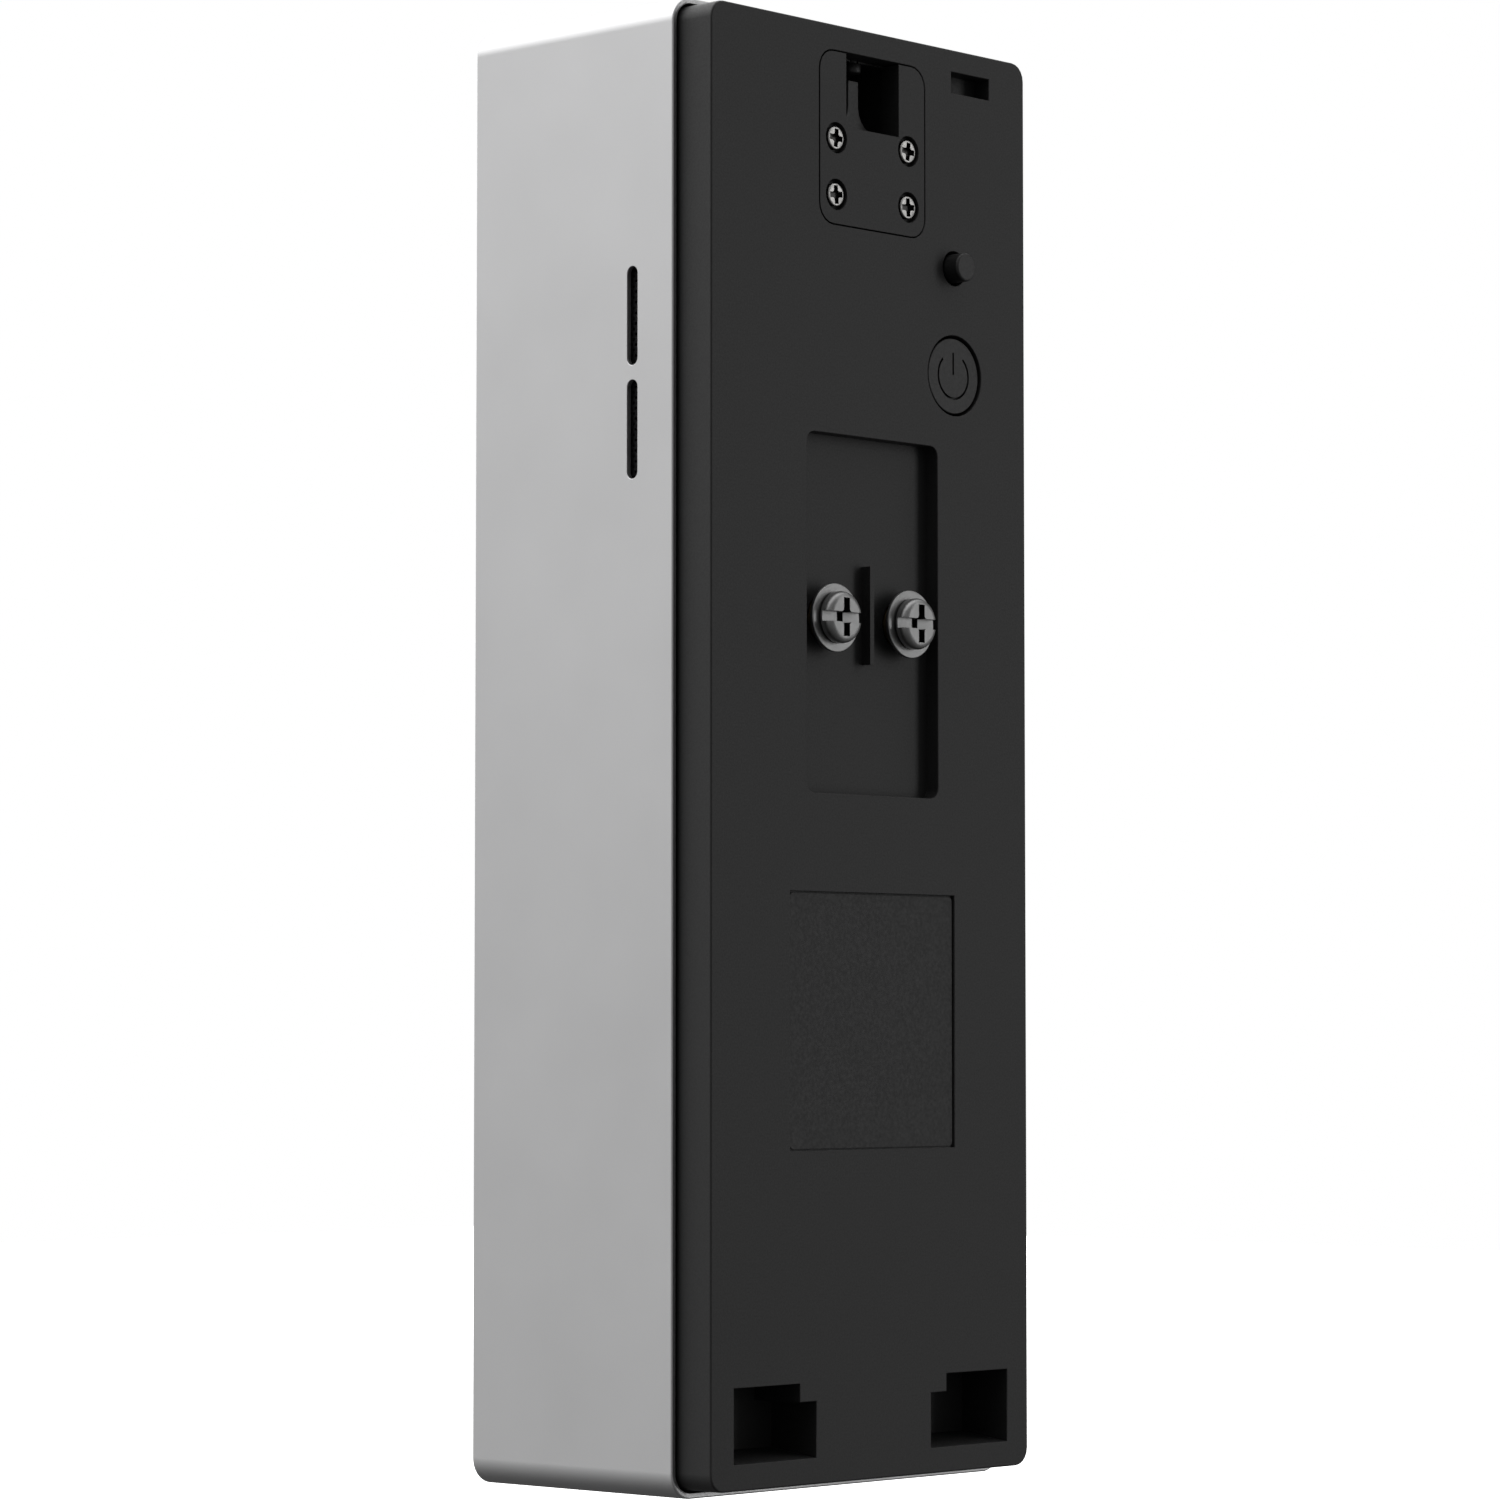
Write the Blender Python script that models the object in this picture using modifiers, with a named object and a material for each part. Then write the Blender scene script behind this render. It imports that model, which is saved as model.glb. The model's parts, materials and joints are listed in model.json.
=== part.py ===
"""Video doorbell with a built-in battery, modelled as the assembly of its separate pieces.

X runs across, Y from front to back and Z up, in metres. The plane Y = 0 is the flat back that the
wall bracket meets, the front looks towards -Y, and the origin lies on the back face, midway between
the terminal pocket and the rating label. Left and right are as seen from behind, so left is +X.
"""

import math

import bmesh
import bpy
from mathutils import Matrix, Vector

MM = 0.001

# Overall sizes. Heights are counted from the bottom edge, depths from the back plane.
HEIGHT = 150.0 * MM
WIDTH = 50.0 * MM
DEPTH = 32.9 * MM
REAR_BAND = 4.5 * MM

# Clearances.
GAP = 0.3 * MM
HAIRLINE = 0.15 * MM
THREAD_GAP = 0.2 * MM

# Aluminium sleeve.
SLEEVE_WALL = 0.6 * MM
SLEEVE_CORNER = 2.7 * MM
SOUND_SLOT_WIDTH = 1.45 * MM
SOUND_SLOT_LENGTH = 10.0 * MM
SOUND_SLOT_PITCH = 11.5 * MM
SOUND_SLOT_DEPTH = 10.15 * MM
SOUND_SLOT_FROM_TOP = 37.65 * MM

# Rear housing.
HOUSING_WALL = 1.5 * MM
BACK_WALL = 3.2 * MM
BACK_EDGE = 0.2 * MM
BOARD_DEPTH = 9.4 * MM

# Hook sockets at the foot of the back face.
SOCKET_SIDE_INSET = 3.35 * MM
SOCKET_WIDTH = 12.05 * MM
SOCKET_BOTTOM = 3.5 * MM
SOCKET_HEIGHT = 7.5 * MM
SOCKET_DEPTH = 6.2 * MM
SOCKET_RAMP = 0.13
SOCKET_NOTCH_WIDTH = 2.45 * MM
SOCKET_NOTCH_HEIGHT = 1.85 * MM
SOCKET_WALL = 1.3 * MM

# Terminal pocket with its screws.
POCKET_WIDTH = 20.1 * MM
POCKET_HEIGHT = 36.7 * MM
POCKET_FROM_TOP = 43.0 * MM
POCKET_DEPTH = 1.6 * MM
POCKET_CORNER = 1.1 * MM
TERMINAL_PITCH = 11.5 * MM
TERMINAL_FROM_TOP = 61.8 * MM
TERMINAL_BOSS = 4.0 * MM
RIB_WIDTH = 0.6 * MM
RIB_HEIGHT = 10.1 * MM
RIB_ASIDE = 0.25 * MM
RIB_RISE = 0.6 * MM
RIB_SUNK = 0.4 * MM
SCREW_SHANK = 1.45 * MM
SCREW_LENGTH = 7.2 * MM
SCREW_HEAD = 2.65 * MM
SCREW_HEAD_HEIGHT = 1.3 * MM
SCREW_SLOT_WIDTH = 1.1 * MM
SCREW_CROSS_REACH = 2.0 * MM
SCREW_SLOT_DEPTH = 0.85 * MM
WASHER_RADIUS = 3.5 * MM
WASHER_THICKNESS = 0.5 * MM
WASHER_PROUD = 0.1 * MM
INSERT_RADIUS = 2.3 * MM
INSERT_LENGTH = 5.8 * MM
CONTACT_RADIUS = 1.5 * MM

# Rating label.
LABEL_WIDTH = 25.1 * MM
LABEL_HEIGHT = 26.05 * MM
LABEL_RISE = 0.6117
LABEL_RECESS = 0.4 * MM
LABEL_THICKNESS = 0.12 * MM

# Latch that holds the doorbell on its bracket.
PLATE_WIDTH = 16.06 * MM
PLATE_HEIGHT = 17.75 * MM
PLATE_FROM_TOP = 3.65 * MM
PLATE_THICKNESS = 2.4 * MM
PLATE_CORNER = 2.0 * MM
LATCH_MOUTH_WIDTH = 8.12 * MM
LATCH_MOUTH_HEIGHT = 7.6 * MM
LATCH_BAY_WIDTH = 8.9 * MM
LATCH_BAY_DEPTH = 7.2 * MM
LATCH_BAY_FLOOR = 1.3 * MM
LATCH_WALL = 1.3 * MM
LATCH_SCREW_PITCH_X = 11.1 * MM
LATCH_SCREW_PITCH_Z = 5.85 * MM
LATCH_SCREW_FROM_MOUTH = 1.3 * MM
LATCH_SCREW_HEAD = 1.17 * MM
LATCH_SCREW_SHANK = 0.7 * MM
LATCH_SCREW_SUNK = 0.05 * MM
LATCH_SCREW_HEAD_HEIGHT = 0.6 * MM
LATCH_SCREW_LENGTH = 5.0 * MM
LATCH_CROSS_REACH = 0.95 * MM
LATCH_CROSS_WIDTH = 0.6 * MM
LATCH_CROSS_DEPTH = 0.45 * MM
COUNTERBORE = 1.62 * MM
TONGUE_WIDTH = 1.65 * MM
TONGUE_FROM_TOP = 1.9 * MM
TONGUE_THICKNESS = 2.4 * MM
TONGUE_FILLET = 2.4 * MM
SLIDER_STEP = 0.6 * MM
SLIDER_HEIGHT = 5.4 * MM
SPRING_RADIUS = 1.3 * MM
SPRING_WIRE = 0.18 * MM
SPRING_TURNS = 4
RELEASE_PIN_DEPTH = 3.0 * MM
RELEASE_PIN_HEAD = 1.0 * MM
RELEASE_PIN_SHANK = 0.6 * MM
RELEASE_PIN_DROP = 1.2 * MM
RELEASE_PIN_SUNK = 0.5 * MM

# Slot for the bracket's locating key.
KEY_SLOT_INSET = 5.69 * MM
KEY_SLOT_WIDTH = 6.07 * MM
KEY_SLOT_HEIGHT = 2.25 * MM
KEY_SLOT_FROM_TOP = 3.2 * MM
KEY_SLOT_DEPTH = 2.1 * MM

# Tamper plunger and power button, one above the other.
SIDE_CONTROLS_X = -12.8 * MM
TAMPER_FROM_TOP = 24.0 * MM
TAMPER_RADIUS = 1.5 * MM
TAMPER_GAP = 0.33 * MM
TAMPER_PROUD = 1.7 * MM
TAMPER_TRAVEL = 1.5 * MM
POWER_FROM_TOP = 35.3 * MM
POWER_RADIUS = 4.1 * MM
POWER_SUNK = 0.4 * MM
POWER_TRAVEL = 0.5 * MM
SYMBOL_RADIUS = 2.37 * MM
SYMBOL_LINE = 0.25 * MM
SYMBOL_CUT = 0.25 * MM
SYMBOL_OPENING = math.radians(41.0)
SYMBOL_BAR = 2.4 * MM
FLANGE_LIP = 0.9 * MM
FLANGE_THICKNESS = 0.8 * MM
SMALL_SWITCH_HEIGHT = 1.4 * MM
SMALL_SWITCH_SIZE = 6.0 * MM

# Front panel and what shows through it. These depths are counted back from the front edge.
PANEL_SUNK = 0.2 * MM
PANEL_THICKNESS = 2.0 * MM
WINDOW_SUNK = 0.3 * MM
WINDOW_THICKNESS = 1.0 * MM
WINDOW_STEP = 1.5 * MM
GASKET_THICKNESS = 0.5 * MM
GASKET_WIDTH = 0.7 * MM
CARRIER_FRONT = 3.5 * MM
CARRIER_THICKNESS = 2.0 * MM
CAMERA_FROM_TOP = 22.0 * MM
CAMERA_WINDOW = 7.5 * MM
BARREL_RADIUS = 6.0 * MM
BARREL_LENGTH = 7.1 * MM
LENS_RADIUS = 4.3 * MM
INFRARED_X = 13.5 * MM
INFRARED_RADIUS = 2.2 * MM
LIGHT_SENSOR_DROP = 12.5 * MM
LIGHT_SENSOR_RADIUS = 1.2 * MM
MOTION_FROM_TOP = 52.0 * MM
MOTION_WIDTH = 16.0 * MM
MOTION_HEIGHT = 10.0 * MM
MOTION_CAN = 4.1 * MM
BELL_BUTTON_UP = 34.0 * MM
BELL_BUTTON_RADIUS = 11.1 * MM
BELL_BUTTON_TRAVEL = 0.8 * MM
BELL_BUTTON_LIP = 1.3 * MM
BELL_BUTTON_DISH = 0.35 * MM
LIGHT_RING_WIDTH = 2.0 * MM
SEAL_WIDTH = 1.3 * MM
MICROPHONE_UP = 12.0 * MM
MICROPHONE_RADIUS = 2.0 * MM
SOUND_HOLE = 0.6 * MM

# Electronics, battery and loudspeaker.
BOARD_THICKNESS = 1.2 * MM
THIN_BOARD = 1.0 * MM
MAIN_BOARD_TOP = 11.5 * MM
MAIN_BOARD_HEIGHT = 54.5 * MM
SHIELD_WIDTH = 16.0 * MM
SHIELD_HEIGHT = 22.0 * MM
SHIELD_THICKNESS = 2.1 * MM
ANTENNA_LENGTH = 40.0 * MM
ANTENNA_WIDTH = 12.0 * MM
ANTENNA_THICKNESS = 0.3 * MM
BATTERY_UP = 15.0 * MM
BATTERY_WALL = 1.2 * MM
BATTERY_SIDE_SPACE = 2.0 * MM
BATTERY_BACK_SPACE = 0.8 * MM
SPEAKER_DEPTH = 13.0 * MM
SPEAKER_HEIGHT = 20.5 * MM
SPEAKER_THICKNESS = 4.5 * MM
SPEAKER_BOX = 4.8 * MM
SPEAKER_BOX_WALL = 0.8 * MM
MESH_THICKNESS = 0.15 * MM
MESH_MARGIN = 1.6 * MM
CARRIER_SCREW_INSET = 3.2 * MM
CARRIER_SCREW_RISE = 7.4 * MM
CARRIER_SCREW_BOSS = 2.6 * MM
CARRIER_SCREW_HEAD = 2.1 * MM
CARRIER_SCREW_SHANK = 0.95 * MM
CARRIER_SCREW_HEAD_HEIGHT = 1.1 * MM
CARRIER_SCREW_LENGTH = 7.5 * MM
CARRIER_COUNTERBORE = 1.2 * MM

# Facets of a full turn, and of one rounded corner.
FINE_TURN = 40
TURN = 24
COARSE_TURN = 12
CORNER_STEPS = 5
PAST = 1.0 * MM

# Places that follow from the sizes above.
SLEEVE_HALF = WIDTH / 2
SLEEVE_INNER_HALF = SLEEVE_HALF - SLEEVE_WALL
HOUSING_INSET = SLEEVE_WALL + 0.9 * GAP
HOUSING_HALF = SLEEVE_HALF - HOUSING_INSET
HOUSING_CORNER = SLEEVE_CORNER - HOUSING_INSET
INNER_HALF = HOUSING_HALF - HOUSING_WALL
INNER_BOTTOM = HOUSING_INSET + HOUSING_WALL
SOCKET_TOP = SOCKET_BOTTOM + SOCKET_HEIGHT
SOCKET_OUTER = HOUSING_HALF - SOCKET_SIDE_INSET
SOCKET_INNER = SOCKET_OUTER - SOCKET_WIDTH
POCKET_TOP = HEIGHT - POCKET_FROM_TOP
POCKET_BOTTOM = POCKET_TOP - POCKET_HEIGHT
TERMINAL_UP = HEIGHT - TERMINAL_FROM_TOP
LABEL_MIDDLE = SOCKET_TOP + LABEL_RISE * (POCKET_BOTTOM - SOCKET_TOP)
LABEL_TOP = LABEL_MIDDLE + LABEL_HEIGHT / 2
ORIGIN_UP = (POCKET_BOTTOM + LABEL_TOP) / 2
PLATE_TOP = HEIGHT - PLATE_FROM_TOP
PLATE_BOTTOM = PLATE_TOP - PLATE_HEIGHT
MOUTH_BOTTOM = PLATE_TOP - LATCH_MOUTH_HEIGHT
BAY_BOTTOM = PLATE_BOTTOM + LATCH_BAY_FLOOR
LATCH_BLOCK_DEPTH = BOARD_DEPTH - 2 * GAP
SLIDER_FACE = PLATE_THICKNESS + GAP
TONGUE_TOP = PLATE_TOP - TONGUE_FROM_TOP
SLIDER_TOP = MOUTH_BOTTOM + SLIDER_STEP
SLIDER_BOTTOM = SLIDER_TOP - SLIDER_HEIGHT
TAMPER_UP = HEIGHT - TAMPER_FROM_TOP
POWER_UP = HEIGHT - POWER_FROM_TOP
SMALL_SWITCH_FACE = BOARD_DEPTH - GAP - SMALL_SWITCH_HEIGHT
CAMERA_UP = HEIGHT - CAMERA_FROM_TOP
MOTION_UP = HEIGHT - MOTION_FROM_TOP
PANEL_BACK = PANEL_SUNK + PANEL_THICKNESS
CARRIER_BACK = CARRIER_FRONT + CARRIER_THICKNESS
RIM_FRONT = PANEL_BACK + GASKET_THICKNESS + 2 * GAP
LIGHT_RING_INNER = BELL_BUTTON_RADIUS + GAP
LIGHT_RING_OUTER = LIGHT_RING_INNER + LIGHT_RING_WIDTH
BELL_FLANGE = BELL_BUTTON_RADIUS + BELL_BUTTON_LIP
BELL_FLANGE_BACK = CARRIER_FRONT + 0.9 * MM
BELL_NUB_BACK = BELL_FLANGE_BACK + 0.4 * MM
BELL_SWITCH_FRONT = BELL_NUB_BACK + BELL_BUTTON_TRAVEL + GAP
BELL_SWITCH_BACK = BELL_SWITCH_FRONT + 1.1 * MM
BELL_BOARD_FRONT = BELL_SWITCH_BACK + GAP
BELL_BOARD_BACK = BELL_BOARD_FRONT + THIN_BOARD
HOLDER_FRONT = BELL_BOARD_BACK + 0.4 * MM
SENSOR_BOARD_FRONT = CARRIER_BACK + 0.9 * MM
BATTERY_TOP = TERMINAL_UP - 2 * TERMINAL_BOSS
HOLDER_HALF = INNER_HALF - BATTERY_SIDE_SPACE
CELL_FRONT = DEPTH - HOLDER_FRONT - BATTERY_WALL - GAP
CELL_BACK = BACK_WALL + BATTERY_BACK_SPACE
CELL_RADIUS = min((HOLDER_HALF - BATTERY_WALL - 2 * GAP) / 2, (CELL_FRONT - CELL_BACK) / 2)
CELL_X = CELL_RADIUS + GAP
CELL_DEPTH = CELL_BACK + CELL_RADIUS
SPEAKER_UP = HEIGHT - SOUND_SLOT_FROM_TOP
SPEAKER_BACK = BACK_WALL + 1.5 * GAP
SPEAKER_FRONT = SPEAKER_BACK + SPEAKER_DEPTH
SPEAKER_X = INNER_HALF - 2 * GAP
SPEAKER_BOX_X = SPEAKER_X - SPEAKER_THICKNESS - GAP
MAIN_BOARD_LEFT = SPEAKER_BOX_X - SPEAKER_BOX - 2.5 * GAP
SIDES = (("left", 1), ("right", -1))


def up(height):
    """Z of a height above the bottom edge."""
    return height - ORIGIN_UP


def back(depth):
    """Y of a depth in front of the back plane."""
    return -depth


def front(depth):
    """Y of a depth behind the sleeve's front edge."""
    return depth - DEPTH


def collection(name):
    made = bpy.data.collections.new(name)
    bpy.context.scene.collection.children.link(made)
    return made


def finish(name, colour, roughness, metallic=0.0):
    """A Principled material in one colour."""
    material = bpy.data.materials.new(name)
    material.use_nodes = True
    shader = material.node_tree.nodes["Principled BSDF"]
    shader.inputs["Base Color"].default_value = (*colour, 1.0)
    shader.inputs["Roughness"].default_value = roughness
    shader.inputs["Metallic"].default_value = metallic
    material.diffuse_color = (*colour, 1.0)
    return material


for leftover in list(bpy.data.objects):
    bpy.data.objects.remove(leftover)
PARTS = collection("video_doorbell")
CUTTERS = collection("doorbell_cutters")
CUTTERS.hide_render = True
ALUMINIUM = finish("bead_blasted_aluminium", (0.47, 0.47, 0.48), 0.42, 1.0)
BLACK_SHELL = finish("black_housing_plastic", (0.028, 0.028, 0.029), 0.55)
BLACK_PART = finish("black_control_plastic", (0.022, 0.022, 0.022), 0.5)
INNER_PLASTIC = finish("inner_frame_plastic", (0.05, 0.05, 0.055), 0.6)
GLOSS_BLACK = finish("gloss_black_panel", (0.01, 0.01, 0.012), 0.08)
BLACK_SCREW = finish("blackened_screw_steel", (0.12, 0.12, 0.12), 0.35, 1.0)
BRIGHT_SCREW = finish("nickel_screw_steel", (0.55, 0.55, 0.55), 0.3, 1.0)
BRASS = finish("terminal_brass", (0.62, 0.46, 0.2), 0.35, 1.0)
STEEL = finish("pressed_steel", (0.5, 0.5, 0.5), 0.35, 1.0)
BOARD = finish("circuit_board", (0.01, 0.09, 0.04), 0.5)
RUBBER = finish("seal_rubber", (0.02, 0.02, 0.02), 0.8)
GLASS = finish("optical_glass", (0.03, 0.03, 0.05), 0.03)
MILKY = finish("light_guide", (0.75, 0.77, 0.8), 0.35)
DARK_LENS = finish("infrared_lens", (0.03, 0.01, 0.02), 0.15)
CELL_WRAP = finish("battery_wrap", (0.02, 0.12, 0.3), 0.4)
LABEL = finish("blank_label", (0.024, 0.024, 0.025), 0.62)


def keep(name, mesh, material, cutter=False, at=(0.0, 0.0, 0.0)):
    """An object for the mesh. `at` becomes its origin, with the shape left where it is."""
    obj = bpy.data.objects.new(name, mesh)
    mesh.transform(Matrix.Translation(-Vector(at)))
    obj.location = at
    if cutter:
        CUTTERS.objects.link(obj)
        obj.hide_render = True
        obj.display_type = "WIRE"
    else:
        PARTS.objects.link(obj)
        mesh.materials.append(material)
        mesh.shade_smooth()
        mesh.set_sharp_from_angle(angle=math.radians(30.0))
    return obj


def block(name, low, high, material=None, corner=0.0, along=1, edge=0.0, at=(0.0, 0.0, 0.0)):
    """A box between two corners. `corner` rounds the edges that run along one axis, and `edge` the rest
    of those at its +Y end. Without a material it is a cutter."""
    bm = bmesh.new()
    bmesh.ops.create_cube(bm, size=1.0)
    size = Vector(high) - Vector(low)
    middle = (Vector(high) + Vector(low)) / 2
    bmesh.ops.transform(bm, matrix=Matrix.Diagonal((*size, 1.0)), verts=bm.verts)
    bmesh.ops.translate(bm, vec=middle, verts=bm.verts)
    if corner:
        posts = [e for e in bm.edges if abs(e.verts[0].co[along] - e.verts[1].co[along]) > size[along] / 2]
        bmesh.ops.bevel(bm, geom=posts, offset=corner, segments=CORNER_STEPS, profile=0.5, affect="EDGES")
        bmesh.ops.remove_doubles(bm, verts=bm.verts, dist=HAIRLINE / 20)
    if edge:
        rim = [e for e in bm.edges if all(abs(v.co.y - high[1]) < edge / 10 for v in e.verts)]
        bmesh.ops.bevel(bm, geom=rim, offset=edge, segments=2, profile=0.5, affect="EDGES")
    mesh = bpy.data.meshes.new(name)
    bm.to_mesh(mesh)
    bm.free()
    return keep(name, mesh, material, material is None, at)


def rod(name, centre, radius, start, end, along="Y", material=None, turn=TURN, at=(0.0, 0.0, 0.0)):
    """A round bar between two places on one axis. Without a material it is a cutter."""
    bm = bmesh.new()
    middle = (start + end) / 2
    if along == "Y":
        place = Matrix.Translation((centre[0], middle, centre[1])) @ Matrix.Rotation(-math.pi / 2, 4, "X")
    else:
        place = Matrix.Translation((centre[0], centre[1], middle))
    length = abs(end - start)
    bmesh.ops.create_cone(
        bm, cap_ends=True, segments=turn, radius1=radius, radius2=radius, depth=length, matrix=place
    )
    mesh = bpy.data.meshes.new(name)
    bm.to_mesh(mesh)
    bm.free()
    return keep(name, mesh, material, material is None, at)


def turned(name, profile, centre, material, along="Y", closed=False, turn=TURN):
    """A turned piece. The profile lists radius and place on the axis, down the outer side."""
    mesh = bpy.data.meshes.new(name)
    points = [(radius, 0.0, place) for radius, place in profile]
    edges = [(i, i + 1) for i in range(len(points) - 1)]
    if closed:
        edges.append((len(points) - 1, 0))
    mesh.from_pydata(points, edges, [])
    obj = bpy.data.objects.new(name, mesh)
    PARTS.objects.link(obj)
    mesh.materials.append(material)
    if along == "Y":
        obj.location = (centre[0], 0.0, centre[1])
        obj.rotation_euler = (-math.pi / 2, 0.0, 0.0)
    else:
        obj.location = (centre[0], centre[1], 0.0)
    spin = obj.modifiers.new("turn", "SCREW")
    spin.axis = "Z"
    spin.steps = turn
    spin.render_steps = turn
    spin.use_merge_vertices = True
    spin.merge_threshold = 0.000001
    spin.use_smooth_shade = False
    return obj


def outlined(name, points, low, high, material=None, at=(0.0, 0.0, 0.0)):
    """A flat outline in X and Z, extruded between two Y places."""
    curve = bpy.data.curves.new(name, "CURVE")
    curve.dimensions = "2D"
    curve.fill_mode = "BOTH"
    curve.extrude = (high - low) / 2
    spline = curve.splines.new("POLY")
    spline.points.add(len(points) - 1)
    for point, (x, z) in zip(spline.points, points):
        point.co = (x, z, 0.0, 1.0)
    spline.use_cyclic_u = True
    flat = bpy.data.objects.new(name + "_outline", curve)
    bpy.context.scene.collection.objects.link(flat)
    graph = bpy.context.evaluated_depsgraph_get()
    mesh = bpy.data.meshes.new_from_object(flat.evaluated_get(graph))
    mesh.name = name
    bpy.data.objects.remove(flat)
    bpy.data.curves.remove(curve)
    mesh.transform(Matrix.Translation((0.0, (low + high) / 2, 0.0)) @ Matrix.Rotation(math.pi / 2, 4, "X"))
    bm = bmesh.new()
    bm.from_mesh(mesh)
    bmesh.ops.remove_doubles(bm, verts=bm.verts, dist=0.000001)
    bmesh.ops.recalc_face_normals(bm, faces=bm.faces)
    bm.to_mesh(mesh)
    bm.free()
    mesh.materials.clear()
    return keep(name, mesh, material, material is None, at)


def combine(target, tools, operation="DIFFERENCE"):
    """Cuts the tools out of the target, or joins them on."""
    for tool in tools:
        step = target.modifiers.new(operation.lower() + "_" + tool.name, "BOOLEAN")
        step.operation = operation
        step.solver = "EXACT"
        step.object = tool
    return target


def make_sleeve():
    """Drawn aluminium sleeve, open at the front and back."""
    sleeve = block(
        "aluminium_sleeve",
        (-SLEEVE_HALF, front(0.0), up(0.0)),
        (SLEEVE_HALF, back(REAR_BAND), up(HEIGHT)),
        ALUMINIUM,
        SLEEVE_CORNER,
    )
    hollow = block(
        "sleeve_hollow",
        (-SLEEVE_INNER_HALF, front(-PAST), up(SLEEVE_WALL)),
        (SLEEVE_INNER_HALF, back(REAR_BAND - PAST), up(HEIGHT - SLEEVE_WALL)),
        corner=SLEEVE_CORNER - SLEEVE_WALL,
    )
    combine(sleeve, [hollow] + sound_slots("sleeve_slot", 0.0, SLEEVE_INNER_HALF - GAP / 2))


def sound_slots(name, grow, inside):
    """The pair of round-ended slots that the loudspeaker is heard through."""
    slots = []
    for number in (1, 2):
        middle = up(SPEAKER_UP) + (1.5 - number) * SOUND_SLOT_PITCH
        half = SOUND_SLOT_WIDTH / 2 + grow
        reach = SOUND_SLOT_LENGTH / 2 + grow
        low = (inside, back(SOUND_SLOT_DEPTH) - half, middle - reach)
        high = (SLEEVE_HALF + PAST, back(SOUND_SLOT_DEPTH) + half, middle + reach)
        slots.append(block(f"{name}_{number}", low, high, corner=half * 0.999, along=0))
    return slots


def make_rear_housing():
    """Moulded tub: back wall, side walls, and the bosses and pockets in them."""
    housing = block(
        "rear_housing",
        (-HOUSING_HALF, front(RIM_FRONT), up(HOUSING_INSET)),
        (HOUSING_HALF, back(0.0), up(HEIGHT - HOUSING_INSET)),
        BLACK_SHELL,
        HOUSING_CORNER,
        edge=BACK_EDGE,
    )
    hollow = block(
        "housing_hollow",
        (-INNER_HALF, front(RIM_FRONT - PAST), up(INNER_BOTTOM)),
        (INNER_HALF, back(BACK_WALL), up(HEIGHT - INNER_BOTTOM)),
        corner=max(HOUSING_CORNER - HOUSING_WALL, 0.3 * MM),
    )
    combine(housing, [hollow])
    combine(housing, housing_bosses(), "UNION")
    combine(housing, latch_cuts() + socket_cuts() + terminal_cuts() + control_cuts() + wall_cuts())
    rib_middle = up(TERMINAL_UP + RIB_RISE)
    rib = block(
        "terminal_rib",
        (-RIB_ASIDE - RIB_WIDTH / 2, back(POCKET_DEPTH + BACK_WALL) / 2, rib_middle - RIB_HEIGHT / 2),
        (-RIB_ASIDE + RIB_WIDTH / 2, back(RIB_SUNK), rib_middle + RIB_HEIGHT / 2),
    )
    combine(housing, [rib], "UNION")


def housing_bosses():
    """Blocks inside the back wall for the latch, the sockets, the terminals and the carrier screws."""
    root = back(BACK_WALL / 2)
    half = PLATE_WIDTH / 2 + LATCH_WALL
    latch = block(
        "latch_block",
        (-half, back(LATCH_BLOCK_DEPTH), up(PLATE_BOTTOM) - LATCH_WALL),
        (half, root, up(HEIGHT - INNER_BOTTOM) + HOUSING_WALL / 2),
    )
    bosses = [latch]
    for name, side in SIDES:
        near = side * (SOCKET_INNER - SOCKET_WALL)
        far = side * (INNER_HALF + HOUSING_WALL / 2)
        socket = block(
            f"socket_block_{name}",
            (min(near, far), back(SOCKET_DEPTH + SOCKET_WALL), up(INNER_BOTTOM - HOUSING_WALL / 2)),
            (max(near, far), root, up(SOCKET_TOP + SOCKET_WALL)),
        )
        bosses.append(socket)
        centre = (side * TERMINAL_PITCH / 2, up(TERMINAL_UP))
        end = back(BOARD_DEPTH - GAP)
        bosses.append(rod(f"terminal_boss_{name}", centre, TERMINAL_BOSS, end, root, turn=TURN))
    for name, x, z in carrier_screw_places():
        end = front(CARRIER_BACK + GAP)
        bosses.append(rod(f"carrier_boss_{name}", (x, z), CARRIER_SCREW_BOSS, end, root, turn=COARSE_TURN))
    return bosses


def latch_cuts():
    """Seat for the cover plate, the bay behind it, its screw holes and the release pin's bore."""
    half = PLATE_WIDTH / 2 + HAIRLINE
    seat = block(
        "plate_seat",
        (-half, back(PLATE_THICKNESS + HAIRLINE), up(PLATE_BOTTOM) - HAIRLINE),
        (half, back(-PAST), up(PLATE_TOP) + HAIRLINE),
        corner=PLATE_CORNER + HAIRLINE,
    )
    bay = block(
        "latch_bay",
        (-LATCH_BAY_WIDTH / 2, back(LATCH_BAY_DEPTH), up(BAY_BOTTOM)),
        (LATCH_BAY_WIDTH / 2, back(PLATE_THICKNESS - PAST), up(PLATE_TOP)),
    )
    bore_radius = RELEASE_PIN_SHANK + THREAD_GAP
    bore_centre = (0.0, back(RELEASE_PIN_DEPTH))
    top = up(HEIGHT)
    bore = rod("release_bore", bore_centre, bore_radius, up(PLATE_TOP) - PAST, top, "Z", turn=COARSE_TURN)
    cuts = [seat, bay, bore]
    for name, x, z in latch_screw_places():
        radius = LATCH_SCREW_SHANK + THREAD_GAP
        end = back(LATCH_SCREW_SUNK + LATCH_SCREW_HEAD_HEIGHT + LATCH_SCREW_LENGTH + 2 * GAP)
        cuts.append(rod(f"latch_pilot_{name}", (x, z), radius, end, back(PAST), turn=COARSE_TURN))
    return cuts


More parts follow.
